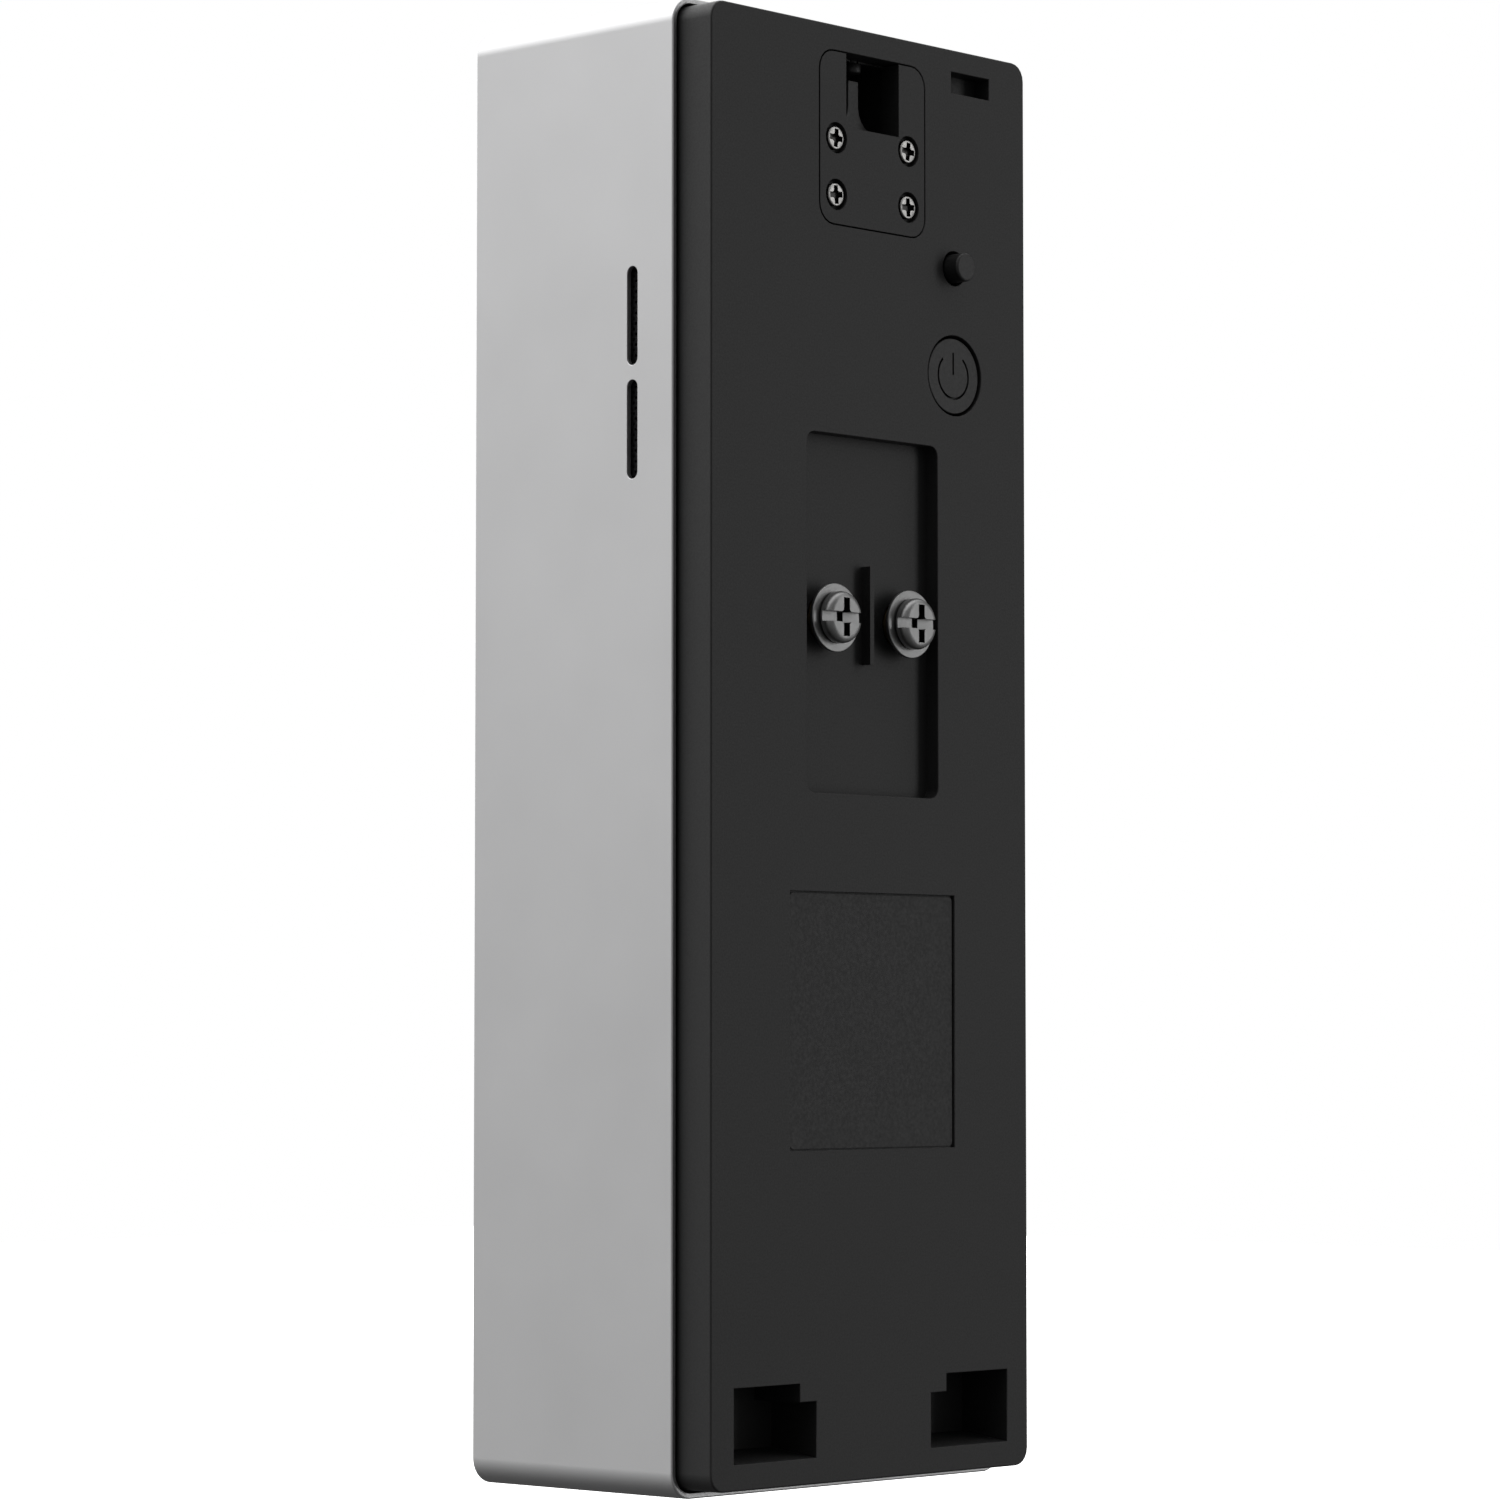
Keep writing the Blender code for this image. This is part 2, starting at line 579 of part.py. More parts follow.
def socket_cuts():
    """The two L-shaped sockets that the bracket's hooks enter, each with a ramp for a floor."""
    cuts = []
    for name, side in SIDES:
        step_x = SOCKET_INNER + SOCKET_NOTCH_WIDTH
        step_z = up(SOCKET_TOP - SOCKET_NOTCH_HEIGHT)
        outline = [
            (side * SOCKET_INNER, up(SOCKET_BOTTOM)),
            (side * SOCKET_OUTER, up(SOCKET_BOTTOM)),
            (side * SOCKET_OUTER, up(SOCKET_TOP)),
            (side * step_x, up(SOCKET_TOP)),
            (side * step_x, step_z),
            (side * SOCKET_INNER, step_z),
        ]
        cut = outlined(f"socket_{name}", outline, back(SOCKET_DEPTH), back(-PAST))
        floor = up(SOCKET_BOTTOM)
        for vertex in cut.data.vertices:
            if abs(vertex.co.z - floor) < GAP:
                vertex.co.z = floor - SOCKET_RAMP * vertex.co.y
        cuts.append(cut)
    return cuts


def terminal_cuts():
    """Pocket for the wires, and the bores of the two threaded inserts."""
    pocket = block(
        "terminal_pocket",
        (-POCKET_WIDTH / 2, back(POCKET_DEPTH), up(POCKET_BOTTOM)),
        (POCKET_WIDTH / 2, back(-PAST), up(POCKET_TOP)),
        corner=POCKET_CORNER,
    )
    cuts = [pocket]
    for name, side in SIDES:
        centre = (side * TERMINAL_PITCH / 2, up(TERMINAL_UP))
        radius = INSERT_RADIUS + GAP
        end = back(BOARD_DEPTH + PAST)
        cuts.append(rod(f"insert_bore_{name}", centre, radius, end, back(0.0), turn=TURN))
    return cuts


def control_cuts():
    """Holes for the tamper plunger and the power button, and the key slot."""
    inside = back(BACK_WALL + PAST)
    outside = back(-PAST)
    tamper_at = (SIDE_CONTROLS_X, up(TAMPER_UP))
    power_at = (SIDE_CONTROLS_X, up(POWER_UP))
    tamper = rod("tamper_hole", tamper_at, TAMPER_RADIUS + TAMPER_GAP, inside, outside)
    power = rod("power_hole", power_at, POWER_RADIUS + HAIRLINE, inside, outside, turn=FINE_TURN)
    key_end = -HOUSING_HALF + KEY_SLOT_INSET
    key = block(
        "key_slot",
        (key_end, back(KEY_SLOT_DEPTH), up(HEIGHT - KEY_SLOT_FROM_TOP) - KEY_SLOT_HEIGHT),
        (key_end + KEY_SLOT_WIDTH, outside, up(HEIGHT - KEY_SLOT_FROM_TOP)),
    )
    return [tamper, power, key]


def wall_cuts():
    """Label recess, sound slots with the seat of their mesh, and the carrier screws' pilot holes."""
    label = block(
        "label_recess",
        (-LABEL_WIDTH / 2, back(LABEL_RECESS), up(LABEL_TOP - LABEL_HEIGHT)),
        (LABEL_WIDTH / 2, back(-PAST), up(LABEL_TOP)),
    )
    low, high = mesh_seat()
    seat = block("mesh_seat", low, (SLEEVE_HALF + PAST, high[1], high[2]))
    cuts = [label, seat] + sound_slots("housing_slot", HAIRLINE, INNER_HALF - PAST)
    for name, x, z in carrier_screw_places():
        start = front(CARRIER_BACK - PAST)
        end = front(CARRIER_FRONT + CARRIER_SCREW_LENGTH + 2 * GAP)
        radius = CARRIER_SCREW_SHANK + THREAD_GAP
        cuts.append(rod(f"carrier_pilot_{name}", (x, z), radius, start, end, turn=COARSE_TURN))
    return cuts


def mesh_seat():
    """Low and high corners of the shallow seat for the loudspeaker's mesh."""
    reach = (SOUND_SLOT_PITCH + SOUND_SLOT_LENGTH) / 2 + MESH_MARGIN
    half = SOUND_SLOT_WIDTH / 2 + MESH_MARGIN
    floor = HOUSING_HALF - MESH_THICKNESS - 2 * HAIRLINE
    low = (floor, back(SOUND_SLOT_DEPTH) - half, up(SPEAKER_UP) - reach)
    high = (HOUSING_HALF, back(SOUND_SLOT_DEPTH) + half, up(SPEAKER_UP) + reach)
    return low, high


def latch_screw_places():
    top = up(MOUTH_BOTTOM - LATCH_SCREW_FROM_MOUTH)
    rows = (("upper", top), ("lower", top - LATCH_SCREW_PITCH_Z))
    return [
        (f"{row}_{name}", side * LATCH_SCREW_PITCH_X / 2, z) for row, z in rows for name, side in SIDES
    ]


def carrier_screw_places():
    rows = (("upper", up(HEIGHT - CARRIER_SCREW_RISE)), ("lower", up(CARRIER_SCREW_RISE)))
    x = INNER_HALF - CARRIER_SCREW_INSET
    return [(f"{row}_{name}", side * x, z) for row, z in rows for name, side in SIDES]


def make_latch_plate():
    """Cover plate of the latch, with the mouth that takes the bracket's catch."""
    plate = block(
        "latch_cover_plate",
        (-PLATE_WIDTH / 2, back(PLATE_THICKNESS), up(PLATE_BOTTOM)),
        (PLATE_WIDTH / 2, back(0.0), up(PLATE_TOP)),
        BLACK_SHELL,
        PLATE_CORNER,
    )
    mouth = block(
        "plate_mouth",
        (-LATCH_MOUTH_WIDTH / 2, back(PLATE_THICKNESS + PAST), up(MOUTH_BOTTOM)),
        (LATCH_MOUTH_WIDTH / 2, back(-PAST), up(PLATE_TOP + PAST)),
    )
    cuts = [mouth]
    floor = back(LATCH_SCREW_SUNK + LATCH_SCREW_HEAD_HEIGHT + HAIRLINE)
    for name, x, z in latch_screw_places():
        radius = LATCH_SCREW_SHANK + GAP
        through = rod(
            f"plate_hole_{name}",
            (x, z),
            radius,
            back(PLATE_THICKNESS + PAST),
            back(-PAST),
            turn=COARSE_TURN,
        )
        cuts.append(through)
        cuts.append(rod(f"plate_counterbore_{name}", (x, z), COUNTERBORE, floor, back(-PAST)))
    combine(plate, cuts)


def make_latch_screws():
    """Four small cross-head screws that hold the cover plate."""
    for name, x, z in latch_screw_places():
        top = back(LATCH_SCREW_SUNK)
        seat = top - LATCH_SCREW_HEAD_HEIGHT
        end = seat - LATCH_SCREW_LENGTH
        rounding = LATCH_SCREW_HEAD * 0.12
        profile = [
            (0.0, top),
            (LATCH_SCREW_HEAD - rounding, top),
            (LATCH_SCREW_HEAD, top - rounding),
            (LATCH_SCREW_HEAD, seat),
            (LATCH_SCREW_SHANK, seat),
            (LATCH_SCREW_SHANK, end + LATCH_SCREW_SHANK / 2),
            (LATCH_SCREW_SHANK / 2, end),
            (0.0, end),
        ]
        screw = turned(f"latch_screw_{name}", profile, (x, z), BRIGHT_SCREW, turn=20)
        cut_cross(screw, x, z, top, LATCH_CROSS_REACH, LATCH_CROSS_WIDTH, LATCH_CROSS_DEPTH)


def cut_cross(screw, x, z, top, reach, width, depth):
    """Cross recess in a screw's head."""
    arms = []
    for number, (half_x, half_z) in enumerate(((reach, width / 2), (width / 2, reach))):
        low = (x - half_x, top - depth, z - half_z)
        arms.append(block(f"{screw.name}_arm_{number}", low, (x + half_x, top + PAST, z + half_z)))
    combine(screw, arms)


def make_latch_slider():
    """Sprung slider whose tongue holds the bracket's catch, with its spring."""
    half = LATCH_BAY_WIDTH / 2 - GAP
    tongue = TONGUE_WIDTH / 2
    outline = [(half, up(SLIDER_BOTTOM)), (half, up(SLIDER_TOP))]
    fillet = []
    for step in range(CORNER_STEPS + 1):
        angle = math.pi / 2 * step / CORNER_STEPS
        x = tongue + TONGUE_FILLET * (1 - math.sin(angle))
        z = up(SLIDER_TOP) + TONGUE_FILLET * (1 - math.cos(angle))
        fillet.append((x, z))
    outline += fillet
    outline.append((tongue, up(TONGUE_TOP)))
    outline += [(-x, z) for x, z in reversed(outline)]
    middle = up(SLIDER_BOTTOM + SLIDER_TOP) / 2
    axis = (0.0, back(SLIDER_FACE + TONGUE_THICKNESS / 2), middle)
    low = back(SLIDER_FACE + TONGUE_THICKNESS)
    outlined("latch_slider", outline, low, back(SLIDER_FACE), BLACK_PART, at=axis)
    make_latch_spring(axis[1])


def make_latch_spring(y):
    """Compression spring between the bay's floor and the slider."""
    bottom = up(BAY_BOTTOM) + GAP + SPRING_WIRE
    top = up(SLIDER_BOTTOM) - GAP - SPRING_WIRE
    steps = SPRING_TURNS * 8
    curve = bpy.data.curves.new("latch_spring", "CURVE")
    curve.dimensions = "3D"
    curve.bevel_depth = SPRING_WIRE
    curve.bevel_resolution = 1
    curve.use_fill_caps = True
    spline = curve.splines.new("POLY")
    spline.points.add(steps)
    radius = min(SPRING_RADIUS, (TONGUE_THICKNESS - SPRING_WIRE) / 2)
    for number, point in enumerate(spline.points):
        angle = 2 * math.pi * number / 8
        rise = bottom + (top - bottom) * number / steps
        point.co = (radius * math.cos(angle), y + radius * math.sin(angle), rise, 1.0)
    curve.materials.append(STEEL)
    PARTS.objects.link(bpy.data.objects.new("latch_spring", curve))


def make_release_pin():
    """Pin that a tool pushes down from the top edge to release the latch."""
    head_bottom = up(PLATE_TOP - RELEASE_PIN_DROP)
    head_top = up(PLATE_TOP) - HAIRLINE
    top = up(HEIGHT - HOUSING_INSET - RELEASE_PIN_SUNK)
    rounding = RELEASE_PIN_HEAD * 0.15
    profile = [
        (0.0, top),
        (RELEASE_PIN_SHANK, top),
        (RELEASE_PIN_SHANK, head_top),
        (RELEASE_PIN_HEAD, head_top),
        (RELEASE_PIN_HEAD, head_bottom + rounding),
        (RELEASE_PIN_HEAD - rounding, head_bottom),
        (0.0, head_bottom),
    ]
    turned("release_pin", profile, (0.0, back(RELEASE_PIN_DEPTH)), BLACK_PART, "Z", turn=24)


def make_tamper_plunger():
    """Plunger that the bracket holds down, and the switch behind it."""
    inner_end = back(SMALL_SWITCH_FACE - GAP - TAMPER_TRAVEL)
    flange = back(BACK_WALL + GAP)
    rounding = TAMPER_RADIUS * 0.2
    profile = [
        (0.0, back(-TAMPER_PROUD)),
        (TAMPER_RADIUS - rounding, back(-TAMPER_PROUD)),
        (TAMPER_RADIUS - rounding * 0.3, back(-TAMPER_PROUD) - rounding * 0.3),
        (TAMPER_RADIUS, back(-TAMPER_PROUD) - rounding),
        (TAMPER_RADIUS, flange),
        (TAMPER_RADIUS + FLANGE_LIP, flange),
        (TAMPER_RADIUS + FLANGE_LIP, flange - FLANGE_THICKNESS),
        (TAMPER_RADIUS, flange - FLANGE_THICKNESS),
        (TAMPER_RADIUS, inner_end),
        (0.0, inner_end),
    ]
    turned("tamper_plunger", profile, (SIDE_CONTROLS_X, up(TAMPER_UP)), BLACK_PART)
    small_switch("tamper_switch", up(TAMPER_UP), SMALL_SWITCH_SIZE * 0.7)


def make_power_button():
    """Power button with its engraved symbol, and the switch behind it."""
    face = back(POWER_SUNK)
    inner_end = back(SMALL_SWITCH_FACE - GAP - POWER_TRAVEL)
    flange = back(BACK_WALL + GAP)
    rounding = 0.1 * MM
    profile = [
        (0.0, face),
        (POWER_RADIUS - rounding, face),
        (POWER_RADIUS, face - rounding),
        (POWER_RADIUS, flange),
        (POWER_RADIUS + FLANGE_LIP, flange),
        (POWER_RADIUS + FLANGE_LIP, flange - FLANGE_THICKNESS),
        (TAMPER_RADIUS, flange - FLANGE_THICKNESS),
        (TAMPER_RADIUS, inner_end),
        (0.0, inner_end),
    ]
    centre = (SIDE_CONTROLS_X, up(POWER_UP))
    button = turned("power_button", profile, centre, BLACK_PART, turn=FINE_TURN)
    combine(button, symbol_cuts(centre, face))
    small_switch("power_switch", up(POWER_UP), SMALL_SWITCH_SIZE)


def symbol_cuts(centre, face):
    """Open ring and upright bar, the usual sign for power."""
    inner = SYMBOL_RADIUS - SYMBOL_LINE / 2
    outer = SYMBOL_RADIUS + SYMBOL_LINE / 2
    steps = 24
    sweep = 2 * math.pi - 2 * SYMBOL_OPENING
    angles = [SYMBOL_OPENING + sweep * step / steps for step in range(steps + 1)]
    ring = [(centre[0] + outer * math.sin(a), centre[1] + outer * math.cos(a)) for a in angles]
    ring += [(centre[0] + inner * math.sin(a), centre[1] + inner * math.cos(a)) for a in reversed(angles)]
    arc = outlined("symbol_ring", ring, face - SYMBOL_CUT, face + PAST)
    bar = block(
        "symbol_bar",
        (centre[0] - SYMBOL_LINE / 2, face - SYMBOL_CUT, centre[1] + GAP / 3),
        (centre[0] + SYMBOL_LINE / 2, face + PAST, centre[1] + GAP / 3 + SYMBOL_BAR),
    )
    return [arc, bar]


def small_switch(name, z, size):
    """Surface-mounted switch on the back of the main board."""
    half = size / 2
    low = (SIDE_CONTROLS_X - half, back(BOARD_DEPTH - GAP), z - half)
    high = (SIDE_CONTROLS_X + half, back(SMALL_SWITCH_FACE + 0.6 * MM), z + half)
    body = block(name, low, high, BLACK_PART, corner=0.4 * MM)
    stud = rod(
        f"{name}_stud",
        (SIDE_CONTROLS_X, z),
        size / 4,
        back(SMALL_SWITCH_FACE + 0.9 * MM),
        back(SMALL_SWITCH_FACE),
        turn=COARSE_TURN,
    )
    combine(body, [stud], "UNION")


def make_terminals():
    """For each wire: a screw with its captive washer, a brass insert and a contact on the board."""
    for name, side in SIDES:
        x = side * TERMINAL_PITCH / 2
        z = up(TERMINAL_UP)
        make_terminal_screw(name, x, z)
        bore = SCREW_SHANK + THREAD_GAP
        washer_back = back(-WASHER_PROUD)
        washer_front = washer_back - WASHER_THICKNESS
        washer = [
            (WASHER_RADIUS, washer_back),
            (WASHER_RADIUS, washer_front),
            (bore, washer_front),
            (bore, washer_back),
        ]
        turned(f"terminal_washer_{name}", washer, (x, z), BLACK_SCREW, closed=True, turn=FINE_TURN)
        insert_back = back(POCKET_DEPTH + HAIRLINE)
        insert_front = insert_back - INSERT_LENGTH
        groove = INSERT_RADIUS - 0.3 * MM
        middle = (insert_back + insert_front) / 2
        insert = [
            (INSERT_RADIUS, insert_back),
            (INSERT_RADIUS, middle + 0.5 * MM),
            (groove, middle + 0.3 * MM),
            (groove, middle - 0.3 * MM),
            (INSERT_RADIUS, middle - 0.5 * MM),
            (INSERT_RADIUS, insert_front),
            (bore, insert_front),
            (bore, insert_back),
        ]
        turned(f"terminal_insert_{name}", insert, (x, z), BRASS, closed=True, turn=COARSE_TURN)
        start = back(BOARD_DEPTH - GAP)
        end = insert_front - GAP
        rod(f"terminal_contact_{name}", (x, z), CONTACT_RADIUS, start, end, material=BRASS, turn=COARSE_TURN)


def make_terminal_screw(name, x, z):
    """Pan-head terminal screw whose recess takes a flat or a cross-head driver."""
    seat = back(-WASHER_PROUD) + HAIRLINE
    top = seat + SCREW_HEAD_HEIGHT
    shoulder = 0.45 * MM
    profile = [(0.0, top), (SCREW_HEAD - shoulder, top)]
    for step in range(1, 4):
        angle = math.pi / 2 * step / 3
        profile.append(
            (SCREW_HEAD - shoulder * (1 - math.sin(angle)), top - shoulder * 1.4 * (1 - math.cos(angle)))
        )
    end = seat - SCREW_LENGTH
    profile += [
        (SCREW_HEAD, seat),
        (SCREW_SHANK, seat),
        (SCREW_SHANK, end + SCREW_SHANK / 2),
        (SCREW_SHANK / 2, end),
        (0.0, end),
    ]
    screw = turned(f"terminal_screw_{name}", profile, (x, z), BLACK_SCREW)
    bottom = top - SCREW_SLOT_DEPTH
    half = SCREW_SLOT_WIDTH / 2
    slot = block(
        f"{screw.name}_slot",
        (x - SCREW_HEAD - PAST, bottom, z - half),
        (x + SCREW_HEAD + PAST, top + PAST, z + half),
    )
    arm = block(
        f"{screw.name}_arm",
        (x - half * 0.92, bottom, z - SCREW_CROSS_REACH),
        (x + half * 0.92, top + PAST, z + SCREW_CROSS_REACH),
    )
    combine(screw, [slot, arm])


def make_rating_label():
    """Blank adhesive label in its recess."""
    half = LABEL_WIDTH / 2 - HAIRLINE
    floor = back(LABEL_RECESS - HAIRLINE / 3)
    block(
        "rating_label",
        (-half, floor, up(LABEL_TOP - LABEL_HEIGHT) + HAIRLINE),
        (half, floor + LABEL_THICKNESS, up(LABEL_TOP) - HAIRLINE),
        LABEL,
    )


def make_front_panel():
    """Gloss panel bonded to the carrier, with openings for the camera, sensors and button."""
    half = SLEEVE_INNER_HALF - GAP
    panel = block(
        "front_panel",
        (-half, front(PANEL_SUNK), up(SLEEVE_WALL + GAP)),
        (half, front(PANEL_BACK), up(HEIGHT - SLEEVE_WALL - GAP)),
        GLOSS_BLACK,
        SLEEVE_CORNER - SLEEVE_WALL - GAP,
    )
    before = front(-PAST)
    behind = front(PANEL_BACK + PAST)
    step = front(WINDOW_SUNK + WINDOW_THICKNESS + HAIRLINE)
    camera = (0.0, up(CAMERA_UP))
    light = (0.0, up(CAMERA_UP - LIGHT_SENSOR_DROP))
    cuts = [
        rod("window_seat", camera, CAMERA_WINDOW + HAIRLINE, before, step, turn=FINE_TURN),
        rod("window_hole", camera, CAMERA_WINDOW - WINDOW_STEP, before, behind),
        rod("light_hole", light, LIGHT_SENSOR_RADIUS + GAP, before, behind, turn=COARSE_TURN),
        rod("sound_hole", (0.0, up(MICROPHONE_UP)), SOUND_HOLE, before, behind, turn=COARSE_TURN),
        rod("button_hole", (0.0, up(BELL_BUTTON_UP)), LIGHT_RING_OUTER + GAP, before, behind, turn=FINE_TURN),
        motion_opening("motion_seat", HAIRLINE, before, step),
        motion_opening("motion_hole", -WINDOW_STEP, before, behind),
    ]
    for name, side in SIDES:
        centre = (side * INFRARED_X, up(CAMERA_UP))
        cuts.append(rod(f"infrared_hole_{name}", centre, INFRARED_RADIUS + GAP, before, behind))
    combine(panel, cuts)


def motion_opening(name, grow, low, high, material=None):
    """A block in the outline of the motion lens, larger by `grow` on each side."""
    half = MOTION_WIDTH / 2 + grow
    rise = MOTION_HEIGHT / 2 + grow
    middle = up(MOTION_UP)
    round_end = min(half, rise) * 0.999
    return block(name, (-half, low, middle - rise), (half, high, middle + rise), material, round_end)


def make_camera():
    """Window, lens barrel with its front lens, image sensor and their board."""
    centre = (0.0, up(CAMERA_UP))
    window_back = front(WINDOW_SUNK + WINDOW_THICKNESS)
    rim = CAMERA_WINDOW - 0.25 * MM
    window = [
        (0.0, window_back),
        (CAMERA_WINDOW, window_back),
        (CAMERA_WINDOW, front(WINDOW_SUNK) + 0.25 * MM),
        (rim, front(WINDOW_SUNK)),
        (0.0, front(WINDOW_SUNK)),
    ]
    turned("camera_window", window, centre, GLASS, turn=FINE_TURN)
    mouth = PANEL_BACK + GAP
    end = mouth + BARREL_LENGTH
    recess = mouth + 2.2 * MM
    neck = BARREL_RADIUS - 1.2 * MM
    seat = LENS_RADIUS + GAP
    barrel = [
        (0.0, front(end)),
        (neck, front(end)),
        (neck, front(recess + GAP)),
        (BARREL_RADIUS - GAP, front(recess - GAP)),
        (BARREL_RADIUS - GAP, front(mouth)),
        (seat, front(mouth)),
        (seat, front(recess)),
        (0.0, front(recess)),
    ]
    turned("lens_barrel", barrel, centre, BLACK_PART)
    crown = mouth + 0.3 * MM
    lens = [(0.0, front(recess - GAP)), (LENS_RADIUS, front(recess - GAP))]
    for step in range(3):
        angle = math.pi / 2 * step / 3
        lens.append((LENS_RADIUS * math.cos(angle), front(crown + 1.1 * MM * (1 - math.sin(angle)))))
    lens.append((0.0, front(crown)))
    turned("front_lens", lens, centre, GLASS)
    sensor = end + GAP
    half = 3.5 * MM
    block(
        "image_sensor",
        (-half, front(sensor), centre[1] - half),
        (half, front(sensor + 1.0 * MM), centre[1] + half),
        BLACK_PART,
    )
    board = sensor + 1.0 * MM + GAP
    reach = 9.0 * MM
    block(
        "camera_board",
        (-reach, front(board), centre[1] - reach),
        (reach, front(board + THIN_BOARD), centre[1] + reach),
        BOARD,
        corner=0.8 * MM,
    )


def make_sensors():
    """Infrared lights, light sensor, motion sensor with its lens, and the board they stand on."""
    foot = front(SENSOR_BOARD_FRONT - GAP)
    for name, side in SIDES:
        centre = (side * INFRARED_X, up(CAMERA_UP))
        lamp(f"infrared_led_{name}", centre, INFRARED_RADIUS, foot, DARK_LENS)
    light = (0.0, up(CAMERA_UP - LIGHT_SENSOR_DROP))
    lamp("light_sensor", light, LIGHT_SENSOR_RADIUS, foot, DARK_LENS)
    motion_opening("motion_lens", 0.0, front(WINDOW_SUNK), front(WINDOW_SUNK + WINDOW_THICKNESS), DARK_LENS)
    base = MOTION_CAN + 0.4 * MM
    shoulder = front(PANEL_BACK + GAP)
    can = [
        (0.0, foot),
        (base, foot),
        (base, foot - 0.5 * MM),
        (MOTION_CAN, foot - 0.5 * MM),
        (MOTION_CAN, shoulder),
        (0.0, shoulder),
    ]
    turned("motion_sensor", can, (0.0, up(MOTION_UP)), STEEL, turn=24)
    half = INFRARED_X + 3.5 * MM
    board = block(
        "sensor_board",
        (-half, front(SENSOR_BOARD_FRONT), up(MOTION_UP - 6.0 * MM)),
        (half, front(SENSOR_BOARD_FRONT + THIN_BOARD), up(CAMERA_UP + 10.0 * MM)),
        BOARD,
        corner=1.0 * MM,
    )
    hole = rod(
        "board_barrel_hole",
        (0.0, up(CAMERA_UP)),
        BARREL_RADIUS + GAP,
        front(SENSOR_BOARD_FRONT - PAST),
        front(SENSOR_BOARD_FRONT + THIN_BOARD + PAST),
    )
    combine(board, [hole])


def lamp(name, centre, radius, foot, material):
    """A lens-ended lamp or sensor, standing on its flange."""
    tip = front(PANEL_SUNK + 0.3 * MM)
    flange = radius + 0.4 * MM
    profile = [(0.0, foot), (flange, foot), (flange, foot - 0.6 * MM), (radius, foot - 0.6 * MM)]
    for step in range(3):
        angle = math.pi / 2 * step / 3
        profile.append((radius * math.cos(angle), tip + radius * (1 - math.sin(angle))))
    profile.append((0.0, tip))
    turned(name, profile, centre, material, turn=16)


def make_bell_button():
    """Doorbell button, its light ring and seal, and the switch and board behind it."""
    centre = (0.0, up(BELL_BUTTON_UP))
    face = front(WINDOW_SUNK)
    rounding = 0.3 * MM
    flange_front = front(CARRIER_FRONT)
    button = [
        (0.0, front(BELL_NUB_BACK)),
        (TAMPER_RADIUS, front(BELL_NUB_BACK)),
        (TAMPER_RADIUS, front(BELL_FLANGE_BACK)),
        (BELL_FLANGE, front(BELL_FLANGE_BACK)),
        (BELL_FLANGE, flange_front),
        (BELL_BUTTON_RADIUS, flange_front),
        (BELL_BUTTON_RADIUS, face + rounding),
        (BELL_BUTTON_RADIUS - rounding, face),
        (BELL_BUTTON_RADIUS * 0.92, face),
    ]
    for step in range(1, 4):
        share = 1 - step / 3
        dish = BELL_BUTTON_DISH * (1 - share * share)
        button.append((BELL_BUTTON_RADIUS * 0.92 * share, face + dish))
    turned("doorbell_button", button, centre, GLOSS_BLACK, turn=FINE_TURN)
    ring_back = front(CARRIER_FRONT - GAP)
    ring = [
        (LIGHT_RING_OUTER, ring_back),
        (LIGHT_RING_OUTER, face),
        (LIGHT_RING_INNER, face),
        (LIGHT_RING_INNER, ring_back),
    ]
    turned("button_light_ring", ring, centre, MILKY, closed=True, turn=FINE_TURN)
    seal_inner = LIGHT_RING_OUTER + GAP
    seal_back = front(CARRIER_FRONT - GAP)
    seal_front = front(PANEL_BACK + GAP)
    seal = [
        (seal_inner + SEAL_WIDTH, seal_back),
        (seal_inner + SEAL_WIDTH, seal_front),
        (seal_inner, seal_front),
        (seal_inner, seal_back),
    ]
    turned("button_seal", seal, centre, RUBBER, closed=True, turn=FINE_TURN)
    half = 2.6 * MM
    body = block(
        "button_switch",
        (-half, front(BELL_SWITCH_FRONT + 0.4 * MM), centre[1] - half),
        (half, front(BELL_SWITCH_BACK), centre[1] + half),
        STEEL,
    )
    stud_end = front(BELL_SWITCH_FRONT + 0.7 * MM)
    stud = rod("button_switch_stud", centre, TAMPER_RADIUS, front(BELL_SWITCH_FRONT), stud_end, turn=COARSE_TURN)
    combine(body, [stud], "UNION")
    reach = LIGHT_RING_OUTER + 1.5 * MM
    block(
        "button_board",
        (-reach, front(BELL_BOARD_FRONT), centre[1] - reach),
        (reach, front(BELL_BOARD_BACK), centre[1] + reach),
        BOARD,
        corner=2.0 * MM,
    )


